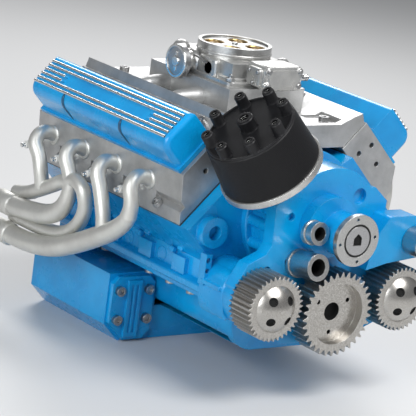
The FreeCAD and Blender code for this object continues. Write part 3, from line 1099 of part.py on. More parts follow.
def build_carburettor():
    body_top = "(carb_base + carb_body_height)"
    body = box("carb_box", ("-carb_body_half", f"{CARB_Y} - carb_body_length / 2", "carb_base"),
               ("carb_body_half", f"{CARB_Y} + carb_body_length / 2", body_top))
    boss = cylinder("throttle_boss", "3.4",
                    "throttle_disc_offset - carb_body_half - throttle_disc_thickness / 2 - 0.3",
                    ("-throttle_disc_offset + throttle_disc_thickness / 2 + 0.3",
                     f"{CARB_Y} + throttle_spread", "carb_base + 4.8"), "X")
    shaft_holes = [cylinder(f"throttle_tunnel_{k + 1}", "throttle_shaft_radius + shaft_clearance",
                            "throttle_disc_offset * 2",
                            ("-throttle_disc_offset", f"{CARB_Y} + {k} * throttle_spread",
                             "carb_base + 4.8"), "X") for k in VALVES]
    piece("carburettor_body", cut("carburettor_body", fuse("carb_mass", body, boss),
                                  *throttle_bores("body"), *shaft_holes))
    horn = cylinder("horn_disc", "air_horn_radius", "air_horn_height", ("0", CARB_Y, body_top))
    dish = cylinder("horn_dish", "air_horn_radius - 1.6", "1.2",
                    ("0", CARB_Y, f"{body_top} + air_horn_height - 1"))
    piece("air_horn", cut("air_horn", horn, dish, *throttle_bores("horn")))
    front = f"({CARB_Y} - carb_body_length / 2)"
    bowl = box("bowl_box", ("bowl_shift - bowl_width / 2", f"{front} - bowl_length", "carb_base + 0.4"),
               ("bowl_shift + bowl_width / 2", front, "carb_base + 0.4 + bowl_height"))
    hollow = box("bowl_hollow", ("bowl_shift - bowl_width / 2 + 1.2", f"{front} - bowl_length + 1.2",
                                 "carb_base + 1.6"),
                 ("bowl_shift + bowl_width / 2 - 1.2", f"{front} - 1.2", "carb_base + bowl_height - 0.8"))
    piece("float_bowl", cut("float_bowl", bowl, hollow))
    for name, along, reach in (("primary", 1, "throttle_disc_offset"),
                               ("secondary", -1, "carb_body_half + 2.5")):
        y = f"({CARB_Y} + {along} * throttle_spread)"
        parts = [cylinder(f"{name}_spindle", "throttle_shaft_radius", f"{reach} + carb_body_half - 0.5",
                          (f"-({reach})", y, "carb_base + 4.8"), "X")]
        for across in (-1, 1):
            parts.append(cylinder(f"{name}_plate_{across + 1}", "throttle_bore - 0.15", "0.7",
                                  (f"{across} * throttle_spread", y, "carb_base + 4.45")))
        if name == "primary":
            parts.append(cylinder("throttle_disc", "throttle_disc_radius", "throttle_disc_thickness",
                                  ("-throttle_disc_offset - throttle_disc_thickness / 2", y,
                                   "carb_base + 4.8"), "X"))
        else:
            parts.append(cylinder("secondary_lever", "2.6", "1.4",
                                  ("-carb_body_half - 2.6", y, "carb_base + 4.8"), "X"))
        piece(f"{name}_throttle", fuse(f"{name}_throttle", *parts))


# ---- exhaust headers and spark plugs ---------------------------------------------------------------------
def tube_solid(points, radius):
    """A round rod along straight runs joined by tangent arcs through the corner points."""
    corners = [FreeCAD.Vector(*p) for p in points]
    edges = []
    start = corners[0]
    for before, corner, after in zip(corners, corners[1:], corners[2:]):
        arrive = (corner - before).normalize()
        leave = (after - corner).normalize()
        turn_angle = arrive.getAngle(leave)
        reach = 0.45 * min((corner - before).Length, (after - corner).Length)
        bend = reach / math.tan(turn_angle / 2)
        first, last = corner - arrive * reach, corner + leave * reach
        inward = (leave - arrive).normalize()
        centre = corner + inward * (bend / math.cos(turn_angle / 2))
        middle = centre - inward * bend
        if (first - start).Length > 1e-6:
            edges.append(Part.LineSegment(start, first).toShape())
        edges.append(Part.Arc(first, middle, last).toShape())
        start = last
    edges.append(Part.LineSegment(start, corners[-1]).toShape())
    spine = Part.Wire(edges)
    heading = corners[1] - corners[0]
    ring = Part.Wire([Part.Circle(corners[0], heading, radius).toShape()])
    return spine.makePipeShell([ring], True, False)


def end_bore(points, radius, depth):
    """A straight bore into the last run of a tube, a little past its mouth."""
    mouth, before = FreeCAD.Vector(*points[-1]), FreeCAD.Vector(*points[-2])
    heading = (mouth - before).normalize()
    return Part.makeCylinder(radius, depth + 1, mouth - heading * depth, heading)


def build_headers():
    """The left side's four port tubes drop and gather into two fat runs with two thin ones beside them.

    The right side is its mirror image, moved by the distance that one bank stands ahead of the other.
    """
    port_x, port_z = port_mouth()
    reach, rear = value("header_reach"), value(f"{FRONT} + header_rear")
    thin, thick, wall = value("tube_radius"), value("run_radius"), value("tube_wall")
    inner = reach - thin - 1
    doc.recompute()
    y = [value(f"{cylinder_y(-1, i)} + port_shift") for i in THROWS]
    elbows = [[(port_x - 2, y[i], port_z), (reach, y[i], port_z),
               (reach, y[i] - 4, port_z - 8)] for i in THROWS]
    routes = [
        (thin, elbows[0] + [(reach, y[0] - 3, 27)]),
        (thin, elbows[1] + [(reach, y[1] - 7, 28), (reach, y[1] - 11, 19)]),
        (thin, elbows[2] + [(reach, y[2] - 8, 30), (reach, y[2] - 6.6, 22)]),
        (thin, elbows[3] + [(reach, y[3] - 8, 31), (reach - 1, y[3] - 10, 20.5)]),
        (thick, [(reach, y[0] - 3.5, 31), (reach, y[0] + 1, 23), (reach, y[0] + 18, 13),
                 (reach, y[0] + 44, 0.3),
                 (reach, rear, -5.6)]),
        (thin, [(reach, y[2] - 8, 31), (reach, y[2] - 18, 29), (reach - 2, y[2] - 16, 17),
                (inner, y[2] - 2, 5),
                (inner, rear, 1.5)]),
        (thick, [(reach, y[2] - 8, 27), (reach, y[2] - 5, 19), (reach, y[2] + 4, 11.5),
                 (reach, y[2] + 23, 8.6),
                 (reach, rear, 7.1)]),
        (thin, [(reach, y[2] - 7, 31), (reach, y[2] + 3, 26), (reach - 2, y[2] + 20, 18.7),
                (inner, rear, 12)]),
    ]
    tubes, bores = [], []
    for size, route in routes:
        points = [(-a, b, c) for a, b, c in route]
        tubes.append(tube_solid(points, size))
        if route[-1][1] == rear:
            bores.append(end_bore(points, size - wall, value("outlet_depth")))
    for height in (-5.7, 7.3):
        ends = [(-reach, rear - 6, height), (-reach, rear + 6, height)]
        tubes.append(tube_solid(ends, thick + wall))
        bores.append(end_bore(ends, thick, 6))
    header = tubes[0]
    for tube in tubes[1:]:
        header = header.fuse(tube)
    outline = doc.getObject("head_outline_left").Shape.copy()
    outline.rotate(FreeCAD.Vector(), FreeCAD.Vector(0, 1, 0), -value("bank_angle"))
    header = header.cut(outline)
    for bore in bores:
        header = header.cut(bore)
    left = doc.addObject("Part::Feature", "exhaust_header_left")
    left.Shape = header
    piece("exhaust_header_left", left)
    right = doc.addObject("Part::Mirroring", "exhaust_header_right")
    right.Source = left
    right.Normal = FreeCAD.Vector(1, 0, 0)
    tie(right, "Placement.Base.y", f"({cylinder_y(1, 0)}) - ({cylinder_y(-1, 0)})")
    piece("exhaust_header_right", right)


def port_mouth():
    """The middle of an exhaust port on the sloping face, for the right bank, as (x, z)."""
    outboard = value(f"deck_outboard - port_height * {PORT_SLOPE}")
    up = value(f"{HEAD_BASE} + port_height")
    lean = math.radians(value("bank_angle"))
    return up * math.sin(lean) + outboard * math.cos(lean), up * math.cos(lean) - outboard * math.sin(lean)


def build_plugs():
    banks = []
    for name, side in SIDES:
        plugs = []
        for i in THROWS:
            plug = turned(f"plug_{name}_{i}", [
                ("0", "0"), ("plug_radius", "0"), ("plug_radius", "plug_depth"),
                                               ("plug_radius + 0.6", "plug_depth"),
                ("plug_radius + 0.6", "plug_depth + 3"), ("plug_radius - 0.7", "plug_depth + 3.6"),
                ("plug_radius - 0.7", "plug_depth + 8"), ("plug_radius - 1.2", "plug_depth + 8.4"),
                ("plug_radius - 1.2", "plug_depth + 10"), ("0", "plug_depth + 10")], ("0", "0", "0"), "Z")
            plugs.append(at_plug(plug, side, i))
        banks.append(on_bank(group(f"plugs_{name}", *plugs), side))
    piece("spark_plugs", *banks)


# ---- oil pan ---------------------------------------------------------------------------------------------
def build_pan():
    flange_low = f"({PAN_TOP} - pan_flange)"
    sump_front = f"({FRONT} + sump_start)"
    sump_rear = f"({sump_front} + sump_length)"
    flange = box("pan_rim", ("-rail_half_width", BLOCK_FRONT, flange_low),
                 ("rail_half_width", BLOCK_REAR, PAN_TOP))
    trough = box("pan_trough", ("-trough_half_width", BLOCK_FRONT, "-trough_depth"),
                 ("trough_half_width", sump_rear, flange_low + " + 0.5"))
    deep_points = [("sump_half_width", "-sump_top"), ("sump_half_width", "-sump_depth + sump_chamfer"),
                   ("sump_half_width - sump_chamfer", "-sump_depth")]
    deep = prism("sump_outline", deep_points + [(f"-({x})", z) for x, z in reversed(deep_points)],
                 sump_front, sump_rear)
    wall = "pan_wall"
    inner_points = [(f"sump_half_width - {wall}", f"-sump_top - {wall}"),
                    (f"sump_half_width - {wall}", f"-sump_depth + sump_chamfer + 0.414 * {wall}"),
                    (f"sump_half_width - sump_chamfer - 0.414 * {wall}", f"-sump_depth + {wall}")]
    deep_hollow = prism("sump_hollow", inner_points + [(f"-({x})", z) for x, z in reversed(inner_points)],
                        f"{sump_front} + {wall}", f"{sump_rear} - {wall}")
    hollow = box("trough_hollow", (f"-trough_half_width + {wall}", f"{BLOCK_FRONT} + {wall} + 2",
                                   f"-trough_depth + {wall}"),
                 (f"trough_half_width - {wall}", f"{sump_rear} - {wall} - 2.2", "0"))
    rear_relief = cylinder("pan_rear_relief", f"{BEARING_RADIUS}", f"{BLOCK_REAR} - {BLOCK_FRONT} + 2",
                           ("0", f"{BLOCK_FRONT} - 1", "0"), "Y")
    corners = []
    for side in (-1, 1):
        low, high = mirrored_span(side, "trough_half_width - trough_round", "trough_half_width + 1")
        square = box(f"trough_corner_{side + 1}", (low, f"{BLOCK_FRONT} - 1", "-trough_depth - 1"),
                     (high, f"{sump_front} - 0.01", "-trough_depth + trough_round"))
        round_part = cylinder(f"trough_curve_{side + 1}", "trough_round",
                              f"{sump_front} - {BLOCK_FRONT} + 4",
                              (out(side, "trough_half_width - trough_round"), f"{BLOCK_FRONT} - 2",
                               "-trough_depth + trough_round"), "Y")
        corners.append(cut(f"trough_corner_cut_{side + 1}", square, round_part))
    piece("oil_pan", cut("oil_pan", fuse("pan_mass", flange, trough, deep), hollow, deep_hollow,
                         rear_relief, *corners))
    gasket = box("pan_gasket_sheet", ("-rail_half_width", BLOCK_FRONT, PAN_TOP),
                 ("rail_half_width", BLOCK_REAR, RAIL))
    gasket_eye = box("pan_gasket_eye", ("-crankcase_radius", f"{BLOCK_FRONT} + 4", "-3"),
                     ("crankcase_radius", f"{BLOCK_REAR} - 4", "0"))
    relief = cylinder("gasket_relief", BEARING_RADIUS, f"{BLOCK_REAR} - {BLOCK_FRONT} + 2",
                      ("0", f"{BLOCK_FRONT} - 1", "0"), "Y")
    piece("pan_gasket", cut("pan_gasket", gasket, gasket_eye, relief))
    screws = []
    for side in (-1, 1):
        for k in range(6):
            if k < 4:
                y = f"{BLOCK_FRONT} + 5 + {k} * (sump_start - 6) / 3"
            else:
                y = f"{BLOCK_REAR} - 4 - {k - 4} * 28"
            screws.append(cylinder(f"pan_bolt_{side + 1}_{k}", "bolt_head", "bolt_rise",
                                   (out(side, "rail_half_width - 4"), y, f"{flange_low} - bolt_rise")))
    covers = []
    for name, side in SIDES:
        near, far = "trough_half_width + 0.8", "trough_half_width + 0.8 + sump_cover_width"
        low, high = mirrored_span(side, near, far)
        bottom = "(-sump_depth + 1)"
        face = f"({sump_front} - sump_cover_thickness)"
        points = [(near, f"{bottom} + 4"), (f"{near} + 4", bottom), (f"{far} - 8", bottom),
                  (far, f"{bottom} + 8"),
                  (far, f"{bottom} + sump_cover_height - 3"),
                  (f"{far} - 3", f"{bottom} + sump_cover_height"),
                  (f"{near} + 3", f"{bottom} + sump_cover_height"),
                  (near, f"{bottom} + sump_cover_height - 3")]
        shape_points = [(out(side, x), z) for x, z in points]
        if side < 0:
            shape_points.reverse()
        plate = prism(f"sump_plate_{name}", shape_points, face, sump_front)
        middle = f"(trough_half_width + 0.8 + sump_cover_width / 2)"
        low, high = mirrored_span(side, f"{middle} - 3.6", f"{middle} + 3.6")
        strip = box(f"sump_strip_{name}", (low, f"{face} - 1.2", f"{bottom} + 1.5"),
                    (high, face, f"{bottom} + sump_cover_height - 1.5"))
        slots = []
        for k in (0, 1):
            low, high = mirrored_span(side, f"{middle} - 1.9 + {k} * 2.4", f"{middle} - 0.7 + {k} * 2.4")
            slots.append(box(f"sump_slot_{name}_{k}", (low, f"{face} - 2", f"{bottom} + 3.5"),
                             (high, f"{face} - 0.5", f"{bottom} + sump_cover_height - 3.5")))
        covers.append(cut(f"sump_cover_{name}", fuse(f"sump_cover_mass_{name}", plate, strip), *slots))
        for across in ("near", "far"):
            x = f"{near} + 3.4" if across == "near" else f"{far} - 3.4"
            for k, z in enumerate((f"{bottom} + 9.5", f"{bottom} + sump_cover_height - 6")):
                screws.append(cylinder(f"sump_bolt_{name}_{across}_{k}", "bolt_head - 0.4", "bolt_rise",
                                       (out(side, x), f"{face} - bolt_rise", z), "Y"))
    piece("sump_covers", *covers)
    return screws


def build_oil_pump():
    y = f"({FRONT} + sump_start + sump_length / 2)"
    body = box("oil_pump_box", ("-9", f"{y} - 6", "-27"), ("9", f"{y} + 6", "-19.5"))
    tube = cylinder("pickup_tube", "2", "6", ("0", y, "-33"))
    screen = cylinder("pickup_screen", "7", "2", ("0", y, "-34"))
    posts = [box(f"oil_pump_leg_{k}", (f"{k} * 5.5 - 1.5", f"{main_y(3)} - {BULKHEAD} / 2", "-21"),
                 (f"{k} * 5.5 + 1.5", f"{main_y(3)} + {BULKHEAD} / 2", "-cap_height")) for k in (-1, 1)]
    rail = box("oil_pump_rail", ("-9", f"{main_y(3)} - {BULKHEAD} / 2", "-22"), ("9", f"{y} + 6", "-19.5"))
    piece("oil_pump", fuse("oil_pump", body, tube, screen, rail, *posts))


build_block()
build_crankshaft()
screws = build_mains()
build_flywheel()
for index in THROWS:
    build_piston_set(2 * index + 1, -1, index)
    build_piston_set(2 * index + 2, 1, index)
for side_name, side_sign in SIDES:
    build_head(side_name, side_sign)
    build_cover(side_name, side_sign)
build_gaskets()
build_valve_gear()
build_camshaft()
build_timing_gears()
build_timing_cover()
build_wheels()
build_crank_gear()
build_water_pump()
build_pipes()
build_bracket()
build_distributor()
build_manifold()
build_carburettor()
build_headers()
build_plugs()
piece("cap_screws", *screws, *head_screws(), *manifold_screws(), *build_pan())
build_oil_pump()

doc.recompute()
for thing in doc.Objects:
    if "Invalid" in thing.State or "Error" in thing.State:
        raise RuntimeError(f"{thing.Name} did not build: {thing.State}")
os.makedirs("parts", exist_ok=True)
for label, thing in nodes.items():
    if thing.Shape.isNull() or not thing.Shape.isValid():
        raise RuntimeError(f"{label} has no valid shape")
    thing.Shape.exportStep(f"parts/{label}.step")
print(len(nodes), "sub-parts written")
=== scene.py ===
"""Dresses a complete miniature V8 engine: paint, castings, plated gears, fasteners and trim."""

import json
import math
from types import SimpleNamespace

import bmesh
import bpy
from mathutils import Matrix, Vector


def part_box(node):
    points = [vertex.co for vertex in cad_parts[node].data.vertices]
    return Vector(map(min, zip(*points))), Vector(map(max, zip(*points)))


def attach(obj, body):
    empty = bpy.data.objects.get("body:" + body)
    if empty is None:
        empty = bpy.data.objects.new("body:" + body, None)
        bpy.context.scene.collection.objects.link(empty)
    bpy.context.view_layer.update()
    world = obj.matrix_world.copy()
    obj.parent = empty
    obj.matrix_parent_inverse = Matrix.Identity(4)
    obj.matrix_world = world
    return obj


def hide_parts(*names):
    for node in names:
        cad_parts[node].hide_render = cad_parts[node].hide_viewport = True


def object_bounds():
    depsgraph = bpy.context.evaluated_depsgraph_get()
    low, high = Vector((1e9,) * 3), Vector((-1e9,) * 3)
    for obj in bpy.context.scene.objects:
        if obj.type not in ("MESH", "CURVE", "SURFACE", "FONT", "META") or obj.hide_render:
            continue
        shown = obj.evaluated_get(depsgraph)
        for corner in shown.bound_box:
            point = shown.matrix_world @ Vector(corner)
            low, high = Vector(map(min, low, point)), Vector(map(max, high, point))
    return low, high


bl_info = {
    "name": "Miniature V8 engine",
    "version": (1, 0, 0),
    "blender": (4, 5, 0),
    "location": "View3D > Sidebar > V8 engine",
    "description": "Finishes and small parts of a complete miniature V8 engine",
    "category": "Object",
}

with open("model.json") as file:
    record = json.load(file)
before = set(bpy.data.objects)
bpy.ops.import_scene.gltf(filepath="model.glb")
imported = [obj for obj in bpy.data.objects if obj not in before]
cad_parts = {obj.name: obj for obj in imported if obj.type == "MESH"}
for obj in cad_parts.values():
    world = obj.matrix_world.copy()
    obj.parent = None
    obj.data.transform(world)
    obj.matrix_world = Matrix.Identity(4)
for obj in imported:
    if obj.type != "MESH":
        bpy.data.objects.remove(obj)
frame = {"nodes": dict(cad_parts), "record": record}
CAD_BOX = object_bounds()
NODES = frame["nodes"]
BODIES = frame["record"]["behaviour"]["bodies"]
MM = 0.001
TINY = 1e-6
SIDES = (("left", -1), ("right", 1))

# Driving places in millimetres. The crank axis is at X 0 and Z 0, and the flywheel's rear face at Y 0.
# Heights in a bank run from the crank axis along its cylinders, and distances outboard run square to them.
SLANT = math.sin(math.radians(45))
DECK_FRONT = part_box("cylinder_head_left")[0].y / MM
HEAD_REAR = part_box("cylinder_head_left")[1].y / MM
HEAD_HALF = 54.5
HEAD_BASE, COVER_TOP = 59.35, 91.15
BORE_PITCH, ROD_STEP = 24.5, 2.7
PORT_FACE_RUN, PORT_FACE_RISE = 15.8, 14.0
PORT_LEAN = math.atan2(PORT_FACE_RUN, PORT_FACE_RISE)
CAM_HEIGHT = 33.0
WHEEL_OUT, WHEEL_UP = 33.4, 4.5
PLATE_BACK, PLATE_FRONT = -128.2, -144.2
DISTRIBUTOR_LEAN = math.radians(39)


# ---- node helpers --------------------------------------------------------------------------------
def new_group(name, kind, inputs, outputs):
    """A node group with named sockets, as (tree, input node, output node)."""
    tree = bpy.data.node_groups.new(name, kind)
    for label, socket_type, default in inputs:
        socket = tree.interface.new_socket(label, in_out="INPUT", socket_type=socket_type)
        if default is not None:
            socket.default_value = default
    for label, socket_type in outputs:
        tree.interface.new_socket(label, in_out="OUTPUT", socket_type=socket_type)
    return tree, tree.nodes.new("NodeGroupInput"), tree.nodes.new("NodeGroupOutput")


def add_node(tree, kind, links=None, **settings):
    """One node, with its properties set and its inputs filled with values or linked to sockets."""
    node = tree.nodes.new(kind)
    for key, value in settings.items():
        setattr(node, key, value)
    for key, source in (links or {}).items():
        socket = node.inputs[key]
        if isinstance(source, bpy.types.NodeSocket):
            tree.links.new(source, socket)
        else:
            socket.default_value = source
    return node


def maths(tree, operation, *values):
    return add_node(tree, "ShaderNodeMath", dict(enumerate(values)), operation=operation).outputs[0]


def span(tree, value, low, high, new_low=0.0, new_high=1.0):
    node = add_node(tree, "ShaderNodeMapRange", {"Value": value, "From Min": low, "From Max": high,
                                                 "To Min": new_low, "To Max": new_high})
    return node.outputs[0]


def blend_colour(tree, factor, first, second, mode="MIX"):
    node = add_node(tree, "ShaderNodeMix", data_type="RGBA", blend_type=mode)
    for index, source in ((0, factor), (6, first), (7, second)):
        if isinstance(source, bpy.types.NodeSocket):
            tree.links.new(source, node.inputs[index])
        else:
            node.inputs[index].default_value = source
    return node.outputs[2]


# ---- shared surface effects ----------------------------------------------------------------------
def build_edge_group():
    """Rounds the look of sharp edges and gives a mask of them."""
    tree, entry, leave = new_group(
        "Edge Wear", "ShaderNodeTree",
        [("Radius", "NodeSocketFloat", 0.0003), ("Breakup", "NodeSocketFloat", 900.0)],
        [("Mask", "NodeSocketFloat"), ("Normal", "NodeSocketVector")])
    soft = add_node(tree, "ShaderNodeBevel", {"Radius": entry.outputs["Radius"]}, samples=4)
    flat = add_node(tree, "ShaderNodeNewGeometry")
    dot = add_node(tree, "ShaderNodeVectorMath", operation="DOT_PRODUCT")
    tree.links.new(soft.outputs[0], dot.inputs[0])
    tree.links.new(flat.outputs["Normal"], dot.inputs[1])
    place = add_node(tree, "ShaderNodeTexCoord")
    noise = add_node(tree, "ShaderNodeTexNoise", {"Vector": place.outputs["Object"],
                                                  "Scale": entry.outputs["Breakup"],
                                                  "Detail": 3.0})
    edge = span(tree, dot.outputs["Value"], 0.995, 0.9)
    broken = maths(tree, "MULTIPLY", edge, span(tree, noise.outputs[0], 0.4, 0.62))
    tree.links.new(broken, leave.inputs["Mask"])
    tree.links.new(soft.outputs[0], leave.inputs["Normal"])
    return tree


def build_grain_group():
    """Cast or sprayed grain: a height and a slow blotch mask."""
    tree, entry, leave = new_group(
        "Surface Grain", "ShaderNodeTree",
        [("Fine Scale", "NodeSocketFloat", 2500.0), ("Blotch Scale", "NodeSocketFloat", 60.0)],
        [("Height", "NodeSocketFloat"), ("Blotch", "NodeSocketFloat")])
    place = add_node(tree, "ShaderNodeTexCoord").outputs["Object"]
    fine = add_node(tree, "ShaderNodeTexNoise", {
        "Vector": place, "Scale": entry.outputs["Fine Scale"], "Detail": 4.0})
    slow = add_node(tree, "ShaderNodeTexNoise", {
        "Vector": place, "Scale": entry.outputs["Blotch Scale"], "Detail": 5.0, "Roughness": 0.6})
    tree.links.new(fine.outputs[0], leave.inputs["Height"])
    tree.links.new(slow.outputs[0], leave.inputs["Blotch"])
    return tree


def build_brush_group():
    """Fine parallel scratches stretched along one direction."""
    tree, entry, leave = new_group(
        "Brush Lines", "ShaderNodeTree",
        [("Stretch", "NodeSocketVector", (1.0, 1.0, 1.0)), ("Scale", "NodeSocketFloat", 3000.0)],
        [("Lines", "NodeSocketFloat")])
    place = add_node(tree, "ShaderNodeTexCoord").outputs["Object"]
    pulled = add_node(tree, "ShaderNodeVectorMath", operation="MULTIPLY")
    tree.links.new(place, pulled.inputs[0])
    tree.links.new(entry.outputs["Stretch"], pulled.inputs[1])
    noise = add_node(tree, "ShaderNodeTexNoise", {"Vector": pulled.outputs[0],
                                                  "Scale": entry.outputs["Scale"],
                                                  "Detail": 3.0})
    tree.links.new(noise.outputs[0], leave.inputs["Lines"])
    return tree


def start_finish(name, bump, metallic, roughness, edge_radius, grain_scale, blotch_scale, specular=0.5,
                 coat=0.0):
    """A material with its Principled shader, grain bump over rounded edges and masks to mix from."""
    material = bpy.data.materials.new(name)
    material.use_nodes = True
    tree = material.node_tree
    tree.nodes.clear()
    out = add_node(tree, "ShaderNodeOutputMaterial")
    shader = add_node(tree, "ShaderNodeBsdfPrincipled", {
        "Metallic": metallic, "Roughness": roughness, "Specular IOR Level": specular, "Coat Weight": coat,
        "Coat Roughness": 0.1})
    tree.links.new(shader.outputs[0], out.inputs[0])
    edge = add_node(tree, "ShaderNodeGroup", node_tree=bpy.data.node_groups["Edge Wear"])
    edge.inputs["Radius"].default_value = edge_radius
    grain = add_node(tree, "ShaderNodeGroup", node_tree=bpy.data.node_groups["Surface Grain"])
    grain.inputs["Fine Scale"].default_value = grain_scale
    grain.inputs["Blotch Scale"].default_value = blotch_scale
    relief = add_node(tree, "ShaderNodeBump", {
        "Strength": bump, "Distance": 0.0001, "Height": grain.outputs["Height"],
        "Normal": edge.outputs["Normal"]})
    tree.links.new(relief.outputs[0], shader.inputs["Normal"])
    return SimpleNamespace(material=material, tree=tree, shader=shader, normal=relief.outputs[0],
                           edge=edge.outputs["Mask"], blotch=grain.outputs["Blotch"],
                           grain=grain.outputs["Height"])


def close_finish(base, colour, roughness, height=None, strength=0.0, distance=0.0):
    """Feeds a material's colour, its roughness and, where it has one, a second relief."""
    links, sockets = base.tree.links, base.shader.inputs
    links.new(colour, sockets["Base Color"])
    links.new(roughness, sockets["Roughness"])
    if height:
        second = add_node(base.tree, "ShaderNodeBump", {
            "Strength": strength, "Distance": distance, "Height": height, "Normal": base.normal})
        links.new(second.outputs[0], sockets["Normal"])
    return base.material


def make_paint(name, colour, worn):
    """Thick glossy enamel over a casting, slightly rubbed on its edges."""
    base = start_finish(name, bump=0.25, metallic=0.0, roughness=0.25, edge_radius=0.0005,
                        grain_scale=900.0, blotch_scale=45.0, specular=0.4, coat=0.35)
    tree = base.tree
    deep = (colour[0] * 0.55, colour[1] * 0.72, colour[2] * 0.8, 1)
    mottled = blend_colour(tree, span(tree, base.blotch, 0.35, 0.7), (*colour, 1), deep)
    tinted = blend_colour(tree, maths(tree, "MULTIPLY", base.edge, 0.35), mottled, (*worn, 1))
    return close_finish(base, tinted, span(tree, base.blotch, 0.3, 0.75, 0.2, 0.36))


def make_casting(name, light, dark, roughness, bump=0.6, grain_scale=2600.0):
    """Bead-blasted cast metal with a fine grain, cloudy tone and brighter edges."""
    base = start_finish(name, bump, metallic=0.8, roughness=roughness, edge_radius=0.0004,
                        grain_scale=grain_scale, blotch_scale=70.0)
    tree = base.tree
    cloudy = blend_colour(tree, span(tree, base.blotch, 0.3, 0.7), (*light, 1), (*dark, 1))
    speckled = blend_colour(tree, span(tree, base.grain, 0.52, 0.75, 0.0, 0.35), cloudy, (*dark, 1))
    bright = blend_colour(tree, maths(tree, "MULTIPLY", base.edge, 0.5), speckled, (0.85, 0.85, 0.85, 1))
    return close_finish(base, bright, span(tree, base.blotch, 0.3, 0.7, roughness - 0.07, roughness + 0.08))


def make_machined(name, light, dark, roughness, stretch, line_scale=2500.0):
    """Turned, ground or drawn metal with fine lines along one direction."""
    base = start_finish(name, bump=0.03, metallic=1.0, roughness=roughness, edge_radius=0.0003,
                        grain_scale=5000.0, blotch_scale=60.0)
    tree = base.tree
    brush = add_node(tree, "ShaderNodeGroup", node_tree=bpy.data.node_groups["Brush Lines"])
    brush.inputs["Stretch"].default_value = stretch
    brush.inputs["Scale"].default_value = line_scale
    lines = brush.outputs["Lines"]
    toned = blend_colour(tree, span(tree, lines, 0.35, 0.65), (*light, 1), (*dark, 1))
    stained = blend_colour(tree, span(tree, base.blotch, 0.55, 0.8, 0.0, 0.25), toned, (*dark, 1))
    bright = blend_colour(tree, maths(tree, "MULTIPLY", base.edge, 0.6), stained, (0.9, 0.89, 0.87, 1))
    return close_finish(base, bright, span(tree, lines, 0.3, 0.7, roughness - 0.05, roughness + 0.07),
                        lines, strength=0.15, distance=0.00005)


def make_moulded(name, colour, pale, roughness, bump=0.4):
    """Moulded plastic, rubber or gasket sheet with a dull bloom."""
    base = start_finish(name, bump, metallic=0.0, roughness=roughness, edge_radius=0.0003,
                        grain_scale=3500.0, blotch_scale=90.0, specular=0.35)
    tree = base.tree
    cloudy = blend_colour(tree, span(tree, base.blotch, 0.4, 0.75, 0.0, 0.6), (*colour, 1), (*pale, 1))
    rubbed = blend_colour(tree, maths(tree, "MULTIPLY", base.edge, 0.6), cloudy, (*pale, 1))
    return close_finish(base, rubbed, span(tree, base.blotch, 0.3, 0.7, roughness - 0.08, roughness + 0.08))


def make_cap_plastic(name, colour, pale, crown_height, lean):
    """Black moulding whose flat crown, where it faces along the cap's axis, is greyed in blotches and made
    less rough, and whose skirt keeps fine turned rings.
    """
    base = start_finish(name, bump=0.3, metallic=0.0, roughness=0.45, edge_radius=0.0003,
                        grain_scale=2600.0, blotch_scale=120.0, specular=0.28)
    tree = base.tree
    place = add_node(tree, "ShaderNodeTexCoord").outputs["Object"]
    facing = add_node(tree, "ShaderNodeNewGeometry").outputs["Normal"]
    axis = (-math.sin(lean), 0.0, math.cos(lean))
    along, upright = [add_node(tree, "ShaderNodeVectorMath", {0: source, 1: axis},
                               operation="DOT_PRODUCT").outputs["Value"] for source in (place, facing)]
    rings = maths(tree, "SINE", maths(tree, "MULTIPLY", along, 9000.0))
    crown = maths(tree, "MULTIPLY", span(tree, upright, 0.9, 0.98),
                  span(tree, along, crown_height - 0.003, crown_height - 0.001))
    crown_grey = maths(tree, "MULTIPLY", crown, span(tree, base.blotch, 0.25, 0.6, 0.35, 1.0))
    shade = blend_colour(tree, crown_grey, (*colour, 1), (*pale, 1))
    rubbed = blend_colour(tree, maths(tree, "MULTIPLY", base.edge, 0.35), shade, (*pale, 1))
    side = maths(tree, "MULTIPLY", rings, maths(tree, "SUBTRACT", 1.0, crown))
    return close_finish(base, rubbed, span(tree, crown_grey, 0.0, 1.0, 0.5, 0.34), side, strength=0.25,
                        distance=0.00006)


# ---- shape helpers -------------------------------------------------------------------------------
# Shapes are drawn in millimetres in a seat's own frame, whose Z runs along the shape's main direction.
def seat(origin, ahead=(0, 0, 1), across=None):
    """The frame, in metres, of a shape whose Z points ahead and whose X lies nearest to across."""
    z = Vector(ahead).normalized()
    x = Vector(across) if across else z.orthogonal()
    x = (x - z * x.dot(z)).normalized()
    turn = Matrix((x, z.cross(x), z)).transposed().to_4x4()
    return Matrix.Scale(MM, 4) @ Matrix.Translation(Vector(origin)) @ turn


def bank_point(side, across, y, height):
    """A point given by its distance outboard and its height along the cylinders of one bank."""
    return Vector((side * (across + height) * SLANT, y, (height - across) * SLANT))


def bank_axis(side, across, height):
    return bank_point(side, across, 0.0, height)


def polygon(count, radius, start=0.0):
    return [(radius * math.cos(start + math.tau * k / count),
             radius * math.sin(start + math.tau * k / count))
            for k in range(count)]


def rounded(width, depth, radius, steps=5):
    """A rectangle's outline with round corners, about its own middle."""
    points = []
    for k, (cx, cy) in enumerate(((1, 1), (-1, 1), (-1, -1), (1, -1))):
        for n in range(steps + 1):
            angle = math.pi / 2 * (k + n / steps)
            points.append((cx * (width / 2 - radius) + radius * math.cos(angle),
                           cy * (depth / 2 - radius) + radius * math.sin(angle)))
    return points


def skin(form, rings, closed_ends=True):
    """Joins rings of the same number of vertices with quads and closes the two ends."""
    for low, high in zip(rings, rings[1:]):
        for k in range(len(low)):
            n = (k + 1) % len(low)
            form.faces.new((low[k], low[n], high[n], high[k]))
    if closed_ends:
        form.faces.new(rings[0])
        form.faces.new(rings[-1])


